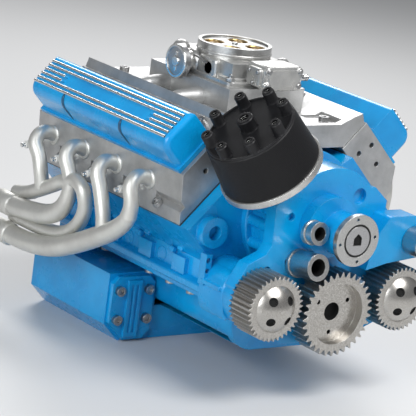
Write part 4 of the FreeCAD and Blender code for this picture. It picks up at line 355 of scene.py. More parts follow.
def slab(form, place, outline, low, high, chamfer=0.0):
    """A plate of an outline from low to high, its upper edge cut at a slant."""
    middle = Vector((sum(x for x, _ in outline), sum(y for _, y in outline))) / len(outline)
    square, cut = [(low, 0.0), (high, 0.0)], [(low, 0.0), (high - chamfer, 0.0), (high, chamfer)]
    levels = cut if chamfer else square
    rings = []
    for height, inset in levels:
        ring = []
        for x, y in outline:
            offset = Vector((x, y)) - middle
            inward = offset * max(0.0, 1.0 - inset / max(offset.length, 0.001))
            ring.append(form.verts.new(place @ Vector((*(middle + inward), height))))
        rings.append(ring)
    skin(form, rings)


def rim(form, place, levels):
    """A closed frame through outlines of equal count at given heights, the last joining the first."""
    rings = [[form.verts.new(place @ Vector((x, y, height))) for x, y in outline]
             for outline, height in levels]
    skin(form, rings + rings[:1], closed_ends=False)


def lathe(form, place, profile, steps=32):
    """A turned shape from (radius, height) points, from axis to axis or closing on itself."""
    rings = []
    for radius, height in profile:
        if radius < TINY:
            rings.append([form.verts.new(place @ Vector((0, 0, height)))])
        else:
            rings.append([form.verts.new(place @ Vector((x, y, height)))
                          for x, y in polygon(steps, radius)])
    pairs = list(zip(rings, rings[1:]))
    if profile[0][0] > TINY:
        pairs.append((rings[-1], rings[0]))
    for low, high in pairs:
        for k in range(steps):
            n = (k + 1) % steps
            corners = [low[k % len(low)], low[n % len(low)], high[n % len(high)], high[k % len(high)]]
            form.faces.new(list(dict.fromkeys(corners)))


def ball(form, place, radius, low=-1.0, steps=24, rings=8):
    """A dome or a whole ball about the seat's origin, flat below low times its radius."""
    start = math.asin(max(low, -1.0))
    profile = [(0.0, radius * low)] if low > -1.0 else []
    for k in range(rings + 1):
        angle = start + (math.pi / 2 - start) * k / rings
        profile.append((radius * math.cos(angle), radius * math.sin(angle)))
    lathe(form, place, profile, steps)


def smooth_path(points, radii, steps=8):
    """Points and radii along a rounded curve through the given ones."""
    ends = [points[0] * 2 - points[1], *points, points[-1] * 2 - points[-2]]
    path, widths = [], []
    for k in range(len(points) - 1):
        a, b, c, d = ends[k:k + 4]
        for n in range(steps):
            t = n / steps
            path.append(0.5 * (2 * b + (c - a) * t + (2 * a - 5 * b + 4 * c - d) * t * t
                               + (3 * b - a - 3 * c + d) * t ** 3))
            widths.append(radii[k] + (radii[k + 1] - radii[k]) * t)
    return [*path, points[-1]], [*widths, radii[-1]]


def pipe(form, points, radius, bore=0.0, depth=0.0, steps=24, curve=8):
    """A round tube along a smooth path, in millimetres, with a blind bore into its last end if asked."""
    points = [Vector(p) for p in points]
    radii = list(radius) if isinstance(radius, (list, tuple)) else [radius] * len(points)
    path, widths = smooth_path(points, radii, curve)
    heading = (path[1] - path[0]).normalized()
    side = heading.orthogonal().normalized()
    rings = []
    for k, (point, width) in enumerate(zip(path, widths)):
        new_heading = (path[min(k + 1, len(path) - 1)] - path[max(k - 1, 0)]).normalized()
        side = heading.rotation_difference(new_heading) @ side
        heading = new_heading
        other = heading.cross(side)
        rings.append([form.verts.new((point + side * x + other * y) * MM)
                      for x, y in polygon(steps, width)])
    if bore:
        for back in (0.0, depth):
            rings.append([form.verts.new((path[-1] - heading * back + side * x + other * y) * MM)
                          for x, y in polygon(steps, bore)])
    skin(form, rings)


def finish_piece(form, name, finish, body="engine", replaces=(), sharp=35.0):
    """Turns the drawn shape into a piece that rides on a body."""
    bmesh.ops.recalc_face_normals(form, faces=form.faces)
    mesh = bpy.data.meshes.new(name)
    form.to_mesh(mesh)
    form.free()
    mesh.shade_smooth()
    mesh.set_sharp_from_angle(angle=math.radians(sharp))
    mesh.materials.append(FINISHES[finish])
    return place_piece(bpy.data.objects.new(name, mesh), body, replaces)


def place_piece(thing, body="engine", replaces=()):
    if thing.name not in bpy.context.scene.objects:
        bpy.context.scene.collection.objects.link(thing)
    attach(thing, body)
    if replaces:
        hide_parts(*replaces)
    return thing


# ---- repeated pieces through node trees ----------------------------------------------------------
def build_screw_tree():
    """Socket-head screws on points, each turned by chance about the direction its point's aim names."""
    tree, entry, leave = new_group("Socket Screws", "GeometryNodeTree", [
        ("Points", "NodeSocketGeometry", None), ("Head Radius", "NodeSocketFloat", 0.0022),
        ("Head Height", "NodeSocketFloat", 0.002), ("Socket Radius", "NodeSocketFloat", 0.0012),
        ("Seed", "NodeSocketInt", 3), ("Finish", "NodeSocketMaterial", None)],
        [("Screws", "NodeSocketGeometry")])
    put = entry.outputs
    head = add_node(tree, "GeometryNodeMeshCylinder", {
        "Vertices": 32, "Radius": put["Head Radius"], "Depth": put["Head Height"]})
    hexagon = add_node(tree, "GeometryNodeMeshCylinder", {
        "Vertices": 6, "Radius": put["Socket Radius"], "Depth": put["Head Height"]})
    half = maths(tree, "MULTIPLY", put["Head Height"], 0.5)
    raised = add_node(tree, "ShaderNodeCombineXYZ", {"Z": half})
    deeper = add_node(tree, "ShaderNodeCombineXYZ", {"Z": put["Head Height"]})
    lifted = add_node(tree, "GeometryNodeTransform", {"Geometry": head.outputs["Mesh"],
                                                      "Translation": raised.outputs[0]})
    tool = add_node(tree, "GeometryNodeTransform", {"Geometry": hexagon.outputs["Mesh"],
                                                    "Translation": deeper.outputs[0]})
    bored = add_node(tree, "GeometryNodeMeshBoolean",
                     {"Mesh 1": lifted.outputs[0], "Mesh 2": tool.outputs[0]}, operation="DIFFERENCE")
    aim = add_node(tree, "GeometryNodeInputNamedAttribute", {"Name": "aim"}, data_type="FLOAT_VECTOR")
    upright = add_node(tree, "FunctionNodeAlignRotationToVector", {"Vector": aim.outputs[0]}, axis="Z")
    chance = add_node(tree, "FunctionNodeRandomValue", {"Seed": put["Seed"]}, data_type="FLOAT")
    spin = add_node(tree, "FunctionNodeAxisAngleToRotation", {
        "Axis": (0.0, 0.0, 1.0), "Angle": maths(tree, "MULTIPLY", chance.outputs[1], 6.283)})
    turned = add_node(tree, "FunctionNodeRotateRotation", {"Rotation": upright.outputs[0],
                                                           "Rotate By": spin.outputs[0]},
                      rotation_space="LOCAL")
    spread = add_node(tree, "GeometryNodeInstanceOnPoints",
                      {"Points": put["Points"], "Instance": bored.outputs["Mesh"],
                       "Rotation": turned.outputs[0]})
    real = add_node(tree, "GeometryNodeRealizeInstances", {"Geometry": spread.outputs[0]})
    painted = add_node(tree, "GeometryNodeSetMaterial",
                       {"Geometry": real.outputs[0], "Material": put["Finish"]})
    tree.links.new(painted.outputs[0], leave.inputs[0])
    return tree


def build_rib_tree():
    """Round-topped strips along edges."""
    tree, entry, leave = new_group("Rib Strips", "GeometryNodeTree", [
        ("Lines", "NodeSocketGeometry", None), ("Radius", "NodeSocketFloat", 0.0005),
        ("Finish", "NodeSocketMaterial", None)], [("Strips", "NodeSocketGeometry")])
    put = entry.outputs
    curve = add_node(tree, "GeometryNodeMeshToCurve", {"Mesh": put["Lines"]})
    ring = add_node(tree, "GeometryNodeCurvePrimitiveCircle", {"Resolution": 14, "Radius": put["Radius"]})
    strips = add_node(tree, "GeometryNodeCurveToMesh",
                      {"Curve": curve.outputs[0], "Profile Curve": ring.outputs[0],
                       "Fill Caps": True})
    smooth = add_node(tree, "GeometryNodeSetShadeSmooth", {"Geometry": strips.outputs[0]})
    real = add_node(tree, "GeometryNodeRealizeInstances", {"Geometry": smooth.outputs[0]})
    painted = add_node(tree, "GeometryNodeSetMaterial",
                       {"Geometry": real.outputs[0], "Material": put["Finish"]})
    tree.links.new(painted.outputs[0], leave.inputs[0])
    return tree


def grow(name, tree, mesh, settings, sharp=None):
    """A piece made by a node tree on a mesh of points or edges, with the tree's inputs set by name."""
    seedling = bpy.data.objects.new(name + "_seed", mesh)
    bpy.context.scene.collection.objects.link(seedling)
    nodes = seedling.modifiers.new("Grow", "NODES")
    nodes.node_group = tree
    for item in tree.interface.items_tree:
        if item.item_type == "SOCKET" and item.in_out == "INPUT" and item.name in settings:
            nodes[item.identifier] = settings[item.name]
    seedling.update_tag()
    bpy.context.view_layer.update()
    grown = seedling.evaluated_get(bpy.context.evaluated_depsgraph_get())
    result = bpy.data.meshes.new_from_object(grown)
    seedling.modifiers.clear()
    bpy.data.objects.remove(seedling)
    if not result.polygons:
        raise RuntimeError(f"{name} grew no faces")
    if sharp:
        result.shade_smooth()
        result.set_sharp_from_angle(angle=math.radians(sharp))
    return bpy.data.objects.new(name, result)


def island_seats(node):
    """The middle of the outer flat end of every screw head in a node, and the direction that it faces."""
    form = bmesh.new()
    form.from_mesh(NODES[node].data)
    bmesh.ops.remove_doubles(form, verts=form.verts, dist=1e-6)
    left, seats = set(form.faces), []
    while left:
        island, front = set(), [left.pop()]
        while front:
            face = front.pop()
            island.add(face)
            near = {other for edge in face.edges for other in edge.link_faces} & left
            left -= near
            front.extend(near)
        directions = {}
        for face in island:
            key = tuple(round(c, 2) + 0.0 for c in face.normal)
            directions[key] = directions.get(key, 0.0) + face.calc_area()
        flat = Vector(max(directions, key=directions.get)).normalized()
        corners = [vert.co for face in island for vert in face.verts]
        low, high = min(flat.dot(c) for c in corners), max(flat.dot(c) for c in corners)
        middle = sum((face.calc_center_median() * face.calc_area() for face in island), Vector())
        middle /= sum(face.calc_area() for face in island)
        if flat.dot(middle - Vector((0.0, -0.07, 0.03))) < 0.0:
            flat, low, high = -flat, -high, -low
        seats.append((middle - flat * (flat.dot(middle) - low), flat))
    form.free()
    return seats


FINISHES = {}
FINISH_OF_NODE = {
    "enamel": ["engine_block", "valve_cover_left", "valve_cover_right", "timing_cover",
               "accessory_bracket", "water_pump_housing", "oil_pan", "sump_covers"],
    "cast alloy": ["cylinder_head_left", "cylinder_head_right", "intake_manifold"],
    "fine alloy": ["carburettor_body", "float_bowl", "distributor_housing"]
                  + [f"piston_and_rod_{k}" for k in range(1, 9)],
    "turned alloy": ["air_horn", "hose_pipes", "water_pump_ring"],
    "satin steel": ["exhaust_header_left", "exhaust_header_right"],
    "ground steel": ["flywheel", "main_bearing_caps", "oil_pump", "idler_roller", "primary_throttle",
                     "secondary_throttle", "rocker_shafts", "rocker_arms", "crankshaft", "camshaft",
                     "pushrods", "valve_lifters", "valves", "valve_springs", "distributor_shaft",
                     "crank_timing_gear", "cam_timing_gear", "water_pump_rotor", "spark_plugs"],
    "gear steel": ["crank_gear", "toothed_wheel_left", "toothed_wheel_right", "wheel_hub_left",
                   "wheel_hub_right"],
    "screw steel": ["cap_screws", "flywheel_bolts"],
    "moulded black": ["rotor_arm"],
    "cap black": ["distributor_cap"],
    "rubber": ["water_pump_seal"],
    "gasket sheet": ["head_gaskets", "pan_gasket"],
    "brass": ["main_bearing_shells"],
}


def paint_node(name, material):
    slots = NODES[name].data.materials
    slots.clear()
    slots.append(material)


class EngineFinish(bpy.types.PropertyGroup):
    """Colours of the engine's main finishes."""

    enamel: bpy.props.FloatVectorProperty(
        name="Enamel", description="Paint on the block, covers, pan and front case", subtype="COLOR",
        default=(0.002, 0.34, 0.72), min=0.0, max=1.0)
    alloy: bpy.props.FloatVectorProperty(
        name="Alloy", description="Heads, manifold and carburettor", subtype="COLOR",
        default=(0.6, 0.6, 0.595), min=0.0, max=1.0)
    tube: bpy.props.FloatVectorProperty(
        name="Header tube", description="Satin steel of the exhaust headers", subtype="COLOR",
        default=(0.74, 0.74, 0.70), min=0.0, max=1.0)
    cap: bpy.props.FloatVectorProperty(
        name="Distributor cap", description="Moulded black cap", subtype="COLOR",
        default=(0.005, 0.005, 0.006), min=0.0, max=1.0)


class ENGINE_OT_finishes(bpy.types.Operator):
    """Builds the finishes and gives one to every part of the engine"""

    bl_idname = "engine.finishes"
    bl_label = "Finishes"

    def execute(self, context):
        look = context.scene.engine_finish
        build_edge_group()
        build_grain_group()
        build_brush_group()
        enamel, alloy, tube, cap = (tuple(c) for c in (look.enamel, look.alloy, look.tube, look.cap))
        dark_alloy = tuple(c * 0.62 for c in alloy)
        # A quarter-bright blue, the painted shade of the valve covers' hold-down flutes
        flute_shade_colour = tuple(c * 0.25 for c in enamel)
        low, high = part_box("distributor_cap")
        lean, tower_height = DISTRIBUTOR_LEAN, 0.0135
        crown = max(-math.sin(lean) * low.x + math.cos(lean) * high.z, 0.08) - tower_height
        even, across_grain = (1.0, 1.0, 1.0), (1.0, 8.0, 1.0)
        FINISHES.update({
            "enamel": make_paint("Blue enamel", enamel, (0.1, 0.5, 0.9)),
            "flute shade": make_paint("Painted flute shade", flute_shade_colour, (0.02, 0.2, 0.4)),
            "cast alloy": make_casting("Cast alloy", alloy, dark_alloy, 0.42),
            "fine alloy": make_casting("Fine cast alloy", (0.72, 0.71, 0.68), dark_alloy, 0.3, bump=0.25),
            "satin steel": make_casting("Satin steel tube", tube, (0.60, 0.59, 0.56), 0.46, bump=0.12,
                                        grain_scale=6000.0),
            "turned alloy": make_machined("Turned alloy", (0.74, 0.74, 0.72), dark_alloy, 0.3,
                                          (1.0, 1.0, 6.0)),
            "polished": make_machined("Polished metal", (0.86, 0.86, 0.84), (0.7, 0.7, 0.69), 0.2,
                                      (1.0, 4.0, 1.0)),
            "oiled steel": make_machined("Oiled steel", (0.05, 0.05, 0.05), (0.02, 0.02, 0.02), 0.35, even),
            "ground steel": make_machined("Ground steel", (0.6, 0.6, 0.6), (0.4, 0.4, 0.41), 0.3,
                                          across_grain),
            "gear steel": make_machined("Plated gear steel", (0.58, 0.56, 0.53), (0.42, 0.40, 0.37), 0.3,
                                        (1.0, 5.0, 1.0), line_scale=1800.0),
            "screw steel": make_machined("Screw steel", (0.5, 0.5, 0.5), (0.3, 0.3, 0.3), 0.3, even),
            "brass": make_machined("Bearing brass", (0.6, 0.42, 0.17), (0.4, 0.26, 0.1), 0.3,
                                   (1.0, 6.0, 1.0)),
            "porcelain": make_moulded("Porcelain", (0.72, 0.71, 0.68), (0.5, 0.49, 0.46), 0.28, bump=0.05),
            "moulded black": make_moulded("Moulded black", cap, (0.03, 0.03, 0.033), 0.5),
            "bore shade": make_moulded("Bore shade", (0.004, 0.004, 0.004), (0.012, 0.012, 0.012), 0.8),
            "rubber": make_moulded("Black rubber", (0.012, 0.012, 0.012), (0.05, 0.05, 0.05), 0.6),
            "gasket sheet": make_moulded("Gasket sheet", (0.05, 0.05, 0.055), (0.12, 0.12, 0.12), 0.8),
            "cap black": make_cap_plastic("Cap black", cap, (0.15, 0.145, 0.14), crown, lean),
        })
        for finish, names in FINISH_OF_NODE.items():
            for name in names:
                paint_node(name, FINISHES[finish])
        missed = set(NODES) - {name for names in FINISH_OF_NODE.values() for name in names}
        if missed:
            raise RuntimeError(f"no finish for {sorted(missed)}")
        return {"FINISHED"}


# ---- pieces --------------------------------------------------------------------------------------

class EngineSizes(bpy.types.PropertyGroup):
    """Sizes of the engine's dressed parts."""

    rib_radius: bpy.props.FloatProperty(
        name="Rib radius", description="Half the width of a polished cover rib",
        unit="LENGTH", default=0.00062)
    socket_radius: bpy.props.FloatProperty(
        name="Socket radius", description="Corner radius of the screws' hexagon sockets",
        unit="LENGTH", default=0.00125)
    screw_radius: bpy.props.FloatProperty(
        name="Screw head radius", description="Radius of a cap screw's head",
        unit="LENGTH", default=0.0022)
    screw_height: bpy.props.FloatProperty(
        name="Screw head height", description="Height of a cap screw's head",
        unit="LENGTH", default=0.002)
    port_tube: bpy.props.FloatProperty(
        name="Port tube radius", description="Radius of a header's thin tubes",
        unit="LENGTH", default=0.0032)
    main_tube: bpy.props.FloatProperty(
        name="Main tube radius", description="Radius of a header's two fat runs",
        unit="LENGTH", default=0.0044)


def cylinder_y(side, i):
    """Where cylinder i of a bank stands along the crank, the right bank's two rod steps ahead."""
    return DECK_FRONT + HEAD_HALF + (i - 1.5) * BORE_PITCH + (ROD_STEP if side < 0 else -ROD_STEP)


def body_of(node):
    """The body that carries a part of the engine."""
    return next(body for body, carried in BODIES.items() if node in carried)


def bore_shade_cup(form, foot, ahead, radius, depth):
    """A thin near-black cup inside a round bore, closed at its foot, painted as the shade deep in the bore.
    """
    outer, inner = radius - 0.02, radius - 0.12
    lathe(form, seat(foot, ahead), [(0, 0.05), (outer, 0.05), (outer, depth), (inner, depth),
                                    (inner, 0.2), (0, 0.2)])


def front_seat(y):
    """A frame whose XY plane is the engine's XZ plane and whose Z runs towards the front."""
    return seat((0, y, 0), (0, -1, 0), (1, 0, 0))


class ENGINE_OT_covers(bpy.types.Operator):
    """Lays polished ribs on the valve covers and draws dark raised strips as painted shade of their two
    hold-down flutes
    """

    bl_idname = "engine.covers"
    bl_label = "Cover ribs"

    def execute(self, context):
        sizes = context.scene.engine_sizes
        tree = build_rib_tree()
        inset, short = 5.3, 15.7
        first_rib, rib_step, rib_height = -12.0, 2.35, COVER_TOP + 0.25
        front, rear = DECK_FRONT + inset, HEAD_REAR - inset
        flute = ((-0.4, 90.6), (1.6, 89.9), (3.1, 87.6), (3.3, 84.0), (3.3, 80.0), (3.2, 77.6))
        flute_radii = [0.5, 0.85, 1.0, 0.95, 0.8, 0.5]
        for name, side in SIDES:
            corners = []
            for k in range(6):
                spans = [(front, rear)]
                if k in (2, 3):
                    spans = [(front, front + short), (rear - short, rear)]
                across = first_rib + rib_step * k
                corners += [bank_point(side, across, y, rib_height) * MM for ends in spans for y in ends]
            lines = bpy.data.meshes.new("rib_lines")
            lines.from_pydata(corners, [(k, k + 1) for k in range(0, len(corners), 2)], [])
            ribs = grow(f"cover_ribs_{name}", tree, lines,
                        {"Radius": sizes.rib_radius, "Finish": FINISHES["polished"]})
            place_piece(ribs)
            # Dark raised strips along each cover's two hold-down flutes, painted shade of the recesses
            form = bmesh.new()
            for y in (-42.0, -85.4):
                pipe(form, [bank_point(side, a, y, h) for a, h in flute], flute_radii, steps=12)
            finish_piece(form, f"cover_flute_shade_{name}", "flute shade")
        return {"FINISHED"}


class ENGINE_OT_screws(bpy.types.Operator):
    """Puts a socket-head screw on the seat of every cap screw"""

    bl_idname = "engine.screws"
    bl_label = "Cap screws"

    def execute(self, context):
        sizes = context.scene.engine_sizes
        seats = island_seats("cap_screws")
        points = bpy.data.meshes.new("screw_seats")
        points.from_pydata([place for place, _ in seats], [], [])
        aim = points.attributes.new("aim", "FLOAT_VECTOR", "POINT")
        for k, (_, ahead) in enumerate(seats):
            aim.data[k].vector = ahead
        settings = {"Head Radius": sizes.screw_radius, "Head Height": sizes.screw_height,
                    "Socket Radius": sizes.socket_radius, "Seed": 7, "Finish": FINISHES["screw steel"]}
        screws = grow("socket_screws", build_screw_tree(), points, settings, sharp=30.0)
        place_piece(screws, replaces=["cap_screws"])
        return {"FINISHED"}


class ENGINE_OT_plugs(bpy.types.Operator):
    """Builds the spark plugs with hexagons, ribbed insulators and terminals"""

    bl_idname = "engine.plugs"
    bl_label = "Spark plugs"

    def execute(self, context):
        shells, insulators = bmesh.new(), bmesh.new()
        deck_edge, plug_rise, plug_sink, plug_trail = 18.8, 5, 4, 13
        across = deck_edge - plug_rise * PORT_FACE_RISE / PORT_FACE_RUN - plug_sink * math.sin(PORT_LEAN)
        height = HEAD_BASE + plug_rise - plug_sink * math.cos(PORT_LEAN)
        shell = [(0, 1), (2.0, 1), (2.0, 4.0), (3.2, 4.0), (3.2, 4.9), (0, 4.9)]
        neck = [(0, 7.6), (2.5, 7.6), (2.5, 8.5), (2.0, 9.0), (0, 9.0)]
        terminal = [(0, 12.0), (1.0, 12.0), (1.0, 12.5), (0.7, 12.7), (0.7, 13.1), (1.0, 13.3), (1.0, 13.8),
                    (0.6, 14.0), (0, 14.0)]
        insulator = [(0, 8.6), (1.7, 8.6)]
        for k in range(4):
            rib = 9.0 + 0.75 * k
            insulator += [(1.7, rib), (1.4, rib + 0.25), (1.6, rib + 0.5)]
        insulator += [(1.0, 12.1), (0, 12.1)]
        for _, side in SIDES:
            ahead = bank_axis(side, math.sin(PORT_LEAN), math.cos(PORT_LEAN))
            for i in range(4):
                foot = bank_point(side, across, cylinder_y(side, i) + plug_trail, height)
                place = seat(foot, ahead, (0, 1, 0))
                lathe(shells, place, shell)
                slab(shells, place, polygon(6, 3.3), 4.9, 7.8, 0.4)
                lathe(shells, place, neck)
                lathe(shells, place, terminal, 20)
                lathe(insulators, place, insulator)
        finish_piece(shells, "plug_shells", "polished", replaces=["spark_plugs"], sharp=25.0)
        finish_piece(insulators, "plug_insulators", "porcelain")
        return {"FINISHED"}


def header_routes(thin, thick, y, back, reach=66.0, inner=61.8):
    """The tubes of a header, as (radius, points outboard, along and up), from ports at each y to back.

    Four short tubes drop from the ports. Two fat and two thin runs sweep from them to the rear, reach or
    inner away from the crank's middle.
    """
    tops = [[(54.5, v, 41.3), (59.5, v, 43.0), (63.6, v - 0.6, 42.4), (66.2, v - 1.8, 38.8)] for v in y]
    return [
        (thin, tops[0] + [(reach, y[0] - 3.4, 33), (reach, y[0] - 3, 26)]),
        (thin, tops[1] + [(reach, y[1] - 4.6, 33), (reach, y[1] - 7.4, 27), (reach, y[1] - 9.6, 21),
                          (reach, y[1] - 10.6, 14.5)]),
        (thin, tops[2] + [(reach, y[2] - 5, 33.5), (reach, y[2] - 7.6, 28.5), (reach, y[2] - 6.6, 22)]),
        (thin, tops[3] + [(reach, y[3] - 5.4, 34), (reach, y[3] - 8, 28.5),
                          (reach - 1, y[3] - 9.5, 20.5)]),
        (thick, [(reach, y[0] - 3.3, 30), (reach, y[0] - 1, 24.4), (reach, y[0] + 7, 18),
                 (reach, y[0] + 19, 11.6), (reach, y[0] + 34, 4.4), (reach, y[0] + 50, -1.6),
                 (reach, y[0] + 68, -4.8), (reach, back, -5.6)]),
        (thin, [(reach, y[2] - 7, 30), (reach, y[2] - 12, 31), (reach, y[2] - 17.4, 28),
                (reach - 1.4, y[2] - 18, 20.5), (reach - 3, y[2] - 12, 12), (inner, y[2] - 1, 5),
                (inner, y[2] + 14, 2.2), (inner, back, 1.5)]),
        (thick, [(reach, y[2] - 7.6, 27.5), (reach, y[2] - 6, 21), (reach, y[2] - 1, 15),
                 (reach, y[2] + 8, 11), (reach, y[2] + 22, 8.6), (reach, back, 7.1)]),
        (thin, [(reach, y[2] - 7, 29), (reach, y[2] - 2, 28.4), (reach - 0.8, y[2] + 6, 24.6),
                (reach - 2.4, y[2] + 20, 18.3), (inner, y[2] + 31, 14), (inner, back, 12)]),
    ]


class ENGINE_OT_headers(bpy.types.Operator):
    """Bends the exhaust tubes in smooth curves and closes their ends with jointing sleeves"""

    bl_idname = "engine.headers"
    bl_label = "Exhaust headers"

    def execute(self, context):
        sizes = context.scene.engine_sizes
        thin, thick = sizes.port_tube / MM, sizes.main_tube / MM
        reach, rear, port_trail, wall, bore_depth = 66.0, -10.0, 3, 0.7, 14.0
        sleeve = [(0, 0), (thick + 0.3, 0), (thick + 0.7, 0.5), (thick + 0.7, 11.5), (thick + 0.3, 12),
                  (thick, 12), (thick, 6), (0, 6)]
        flange = [(0, 0), (4.3, 0), (4.3, 0.9), (3.9, 1.3), (0, 1.3)]
        for name, side in SIDES:
            y = [cylinder_y(side, i) + port_trail for i in range(4)]
            back = rear if side < 0 else rear - 2 * ROD_STEP
            form = bmesh.new()
            for size, route in header_routes(thin, thick, y, back, reach):
                widths = [size] * len(route)
                if size == thick:
                    widths[:3] = [thin, thin + 0.4, thin + 0.9]
                points = [(side * a, b, c) for a, b, c in route]
                if route[-1][1] == back:
                    pipe(form, points, widths, size - wall, bore_depth)
                else:
                    pipe(form, points, widths)
            for height in (-5.7, 7.3):
                lathe(form, seat((side * reach, back - 6, height), (0, 1, 0)), sleeve, 40)
            outward = bank_axis(side, math.sin(PORT_LEAN), math.cos(PORT_LEAN))
            for port in y:
                lathe(form, seat((side * 55.4, port, 41.7), outward), flange)
            finish_piece(form, f"header_tubes_{name}", "satin steel",
                         replaces=[f"exhaust_header_{name}"], sharp=40.0)
        return {"FINISHED"}


def build_float_bowl(alloy, steel, middle):
    """The float bowl on the carburettor's front, with its screw bosses, side plate and fuel inlet."""
    back, centre_x, centre_z = middle - 20, 3, 84.65
    bowl = front_seat(back)
    for size, low, high, chamfer in (((20, 10.5, 2.2), 0, 12.4, 1.0), ((16.5, 7.4, 1.6), 12.2, 13, 0.4)):
        outline = [(centre_x + x, centre_z + z) for x, z in rounded(*size)]
        slab(alloy, bowl, outline, low, high, chamfer)
    for x, z in ((-5.2, 81.6), (11.2, 81.6), (-5.2, 87.7), (11.2, 87.7)):
        boss = seat((x, back, z), (0, -1, 0))
        lathe(alloy, boss, [(0, 0), (1.7, 0), (1.7, 12.6), (1.4, 12.9), (0, 12.9)], 24)
        lathe(steel, boss, [(0, 12.5), (1.15, 12.5), (1.15, 13.3), (0.9, 13.5), (0, 13.5)], 20)
    plate_y, plate_z = middle - 26, 84.6
    slab(alloy, seat((-7, plate_y, plate_z), (-1, 0, 0), (0, 1, 0)), rounded(9, 8, 1.5), -1, 1.4, 0.4)
    for y, z in ((-3, 2.4), (3, 2.4), (0, -2.6)):
        screw = seat((-8.4, plate_y + y, plate_z + z), (-1, 0, 0))
        lathe(steel, screw, [(0, 0), (0.95, 0), (0.95, 0.6), (0.7, 0.8), (0, 0.8)], 16)
    inlet = seat((13, middle - 27, 84), (1, 0, 0))
    slab(steel, inlet, polygon(6, 2.7), -0.5, 2.6, 0.3)
    lathe(steel, inlet, [(0, 2.5), (1.5, 2.5), (1.5, 4), (1.2, 4.3), (1.5, 5.4), (1.2, 5.7), (1.5, 6.8),
                         (1.1, 7.4), (0.8, 7.4), (0.8, 5), (0, 5)], 24)


def build_throttle_base(alloy, steel, middle):
    """The open flange under the throats, with a nut on a stud at each corner."""
    base = seat((0, middle, 79.02), (0, 0, 1), (1, 0, 0))
    flange, step, well = rounded(35.5, 45, 3), rounded(31.6, 41.6, 2.4), rounded(25, 25, 2)
    rim(alloy, base, [(flange, 0), (flange, 1.7), (rounded(34.7, 44.2, 3), 2.1), (step, 2.1), (step, 2.7),
                      (rounded(30.2, 40.2, 2.4), 3.4), (well, 3.4), (well, 0)])
    stud_x, stud_y, flange_top = 15.6, 20.3, 81.1
    for x in (-stud_x, stud_x):
        for y in (-stud_y, stud_y):
            nut = seat((x, middle + y, flange_top), (0, 0, 1))
            slab(steel, nut, polygon(6, 2.0, 0.3), 0, 1.6, 0.25)
            lathe(steel, nut, [(0, 1.5), (0.95, 1.5), (0.95, 2.8), (0.7, 3.1), (0, 3.1)], 16)


def build_throats(alloy, brass, steel, middle):
    """The four throats' sleeves and venturis, and the neck ring and centre stud of the air horn."""
    pitch, sleeve_foot, arm_height = 6.4, 88.6, 90.2
    sleeve = [(4.02, 0), (4.56, 0), (4.56, 3.3), (4.35, 3.75), (4.02, 3.3)]
    venturi = [(1.5, 0.4), (2.2, 0.4), (2.5, 1.6), (2.3, 3.0), (1.9, 3.2), (1.6, 3.0)]
    for y in (-pitch, pitch):
        for x in (-pitch, pitch):
            throat = seat((x, middle + y, sleeve_foot), (0, 0, 1))
            lathe(brass, throat, sleeve, 36)
            lathe(brass, throat, venturi, 24)
            outward = math.copysign(1, x)
            arm = [(x + outward * reach, middle + y, arm_height) for reach in (2.2, 3.2, 4.3)]
            pipe(brass, arm, 0.5, steps=10, curve=3)
    lathe(steel, seat((0, middle, 92.3), (0, 0, 1)),
          [(0, 0), (1.2, 0), (1.2, 0.8), (0.9, 1.0), (0, 1.0)], 20)
    lathe(alloy, seat((0, middle, 88.4), (0, 0, 1)),
          [(15.2, 1.0), (16.0, 1.0), (16.25, 1.3), (16.25, 1.8), (16.0, 2.1), (15.2, 2.1)], 72)


def build_carburettor_sides(alloy, steel, middle, shaft):
    """The throttle drum, pads and domes on the carburettor's two flanks, and the link rod."""
    lathe(alloy, seat((-15, *shaft), (-1, 0, 0)),
          [(0, -1), (5.2, -1), (5.2, 2.2), (4.4, 3), (4.2, 5.4), (3.5, 6), (3.5, 7.2), (0, 7.2)], 32)
    pads = ((-15, -5.0, 84.4, (13, 8, 2), 2.6, 0.6), (-15, 13.5, 85, (9, 6.4, 2), 3.4, 0.6),
            (15, 4.0, 84.2, (16, 7, 2), 2.2, 0.5))
    for x, y, z, size, thickness, chamfer in pads:
        place = seat((x, middle + y, z), (x, 0, 0), (0, 1, 0))
        slab(alloy, place, rounded(*size), -1, thickness, chamfer)
    ball(alloy, seat((-17, middle + 15, 87.4), (-0.5, 0, 1)), 3.9, -0.6)
    ball(alloy, seat((14.8, middle - 15.5, 86.6), (0.5, 0, 1)), 3.3, -0.6)
    rod = [(-18.2, middle + 6, 86.6), (-18.6, middle, 87.2), (-18.2, middle - 6, 85.8)]
    pipe(steel, rod, 0.45, steps=12)


class ENGINE_OT_carburettor(bpy.types.Operator):
    """Builds the carburettor's float bowl, base, throats and flanks, and the throttle disc's face"""

    bl_idname = "engine.carburettor"
    bl_label = "Carburettor"

    def execute(self, context):
        alloy, brass, steel, disc = [bmesh.new() for _ in range(4)]
        middle = DECK_FRONT + 50.5
        shaft = (middle + 6.4, 83.8)
        build_float_bowl(alloy, steel, middle)
        build_throttle_base(alloy, steel, middle)
        build_throats(alloy, brass, steel, middle)
        build_carburettor_sides(alloy, steel, middle, shaft)
        finish_piece(alloy, "carburettor_castings", "fine alloy",
                     replaces=["float_bowl"])
        finish_piece(brass, "carburettor_brass", "brass")
        finish_piece(steel, "carburettor_screws", "screw steel")
        face = seat((-25.3, *shaft), (-1, 0, 0), (0, 1, 0))
        lathe(disc, face, [(6.1, 0), (7.3, 0), (7.3, 0.2), (7.0, 0.5), (6.1, 0.5)], 48)
        lathe(disc, face, [(0, 0), (2.3, 0), (2.3, 0.5), (2.0, 0.8), (0, 0.8)], 24)
        slab(disc, face, rounded(1.5, 9.0, 0.7), 0, 0.35, 0.1)
        finish_piece(disc, "throttle_disc_face", "polished", body="primary_throttle")
        return {"FINISHED"}


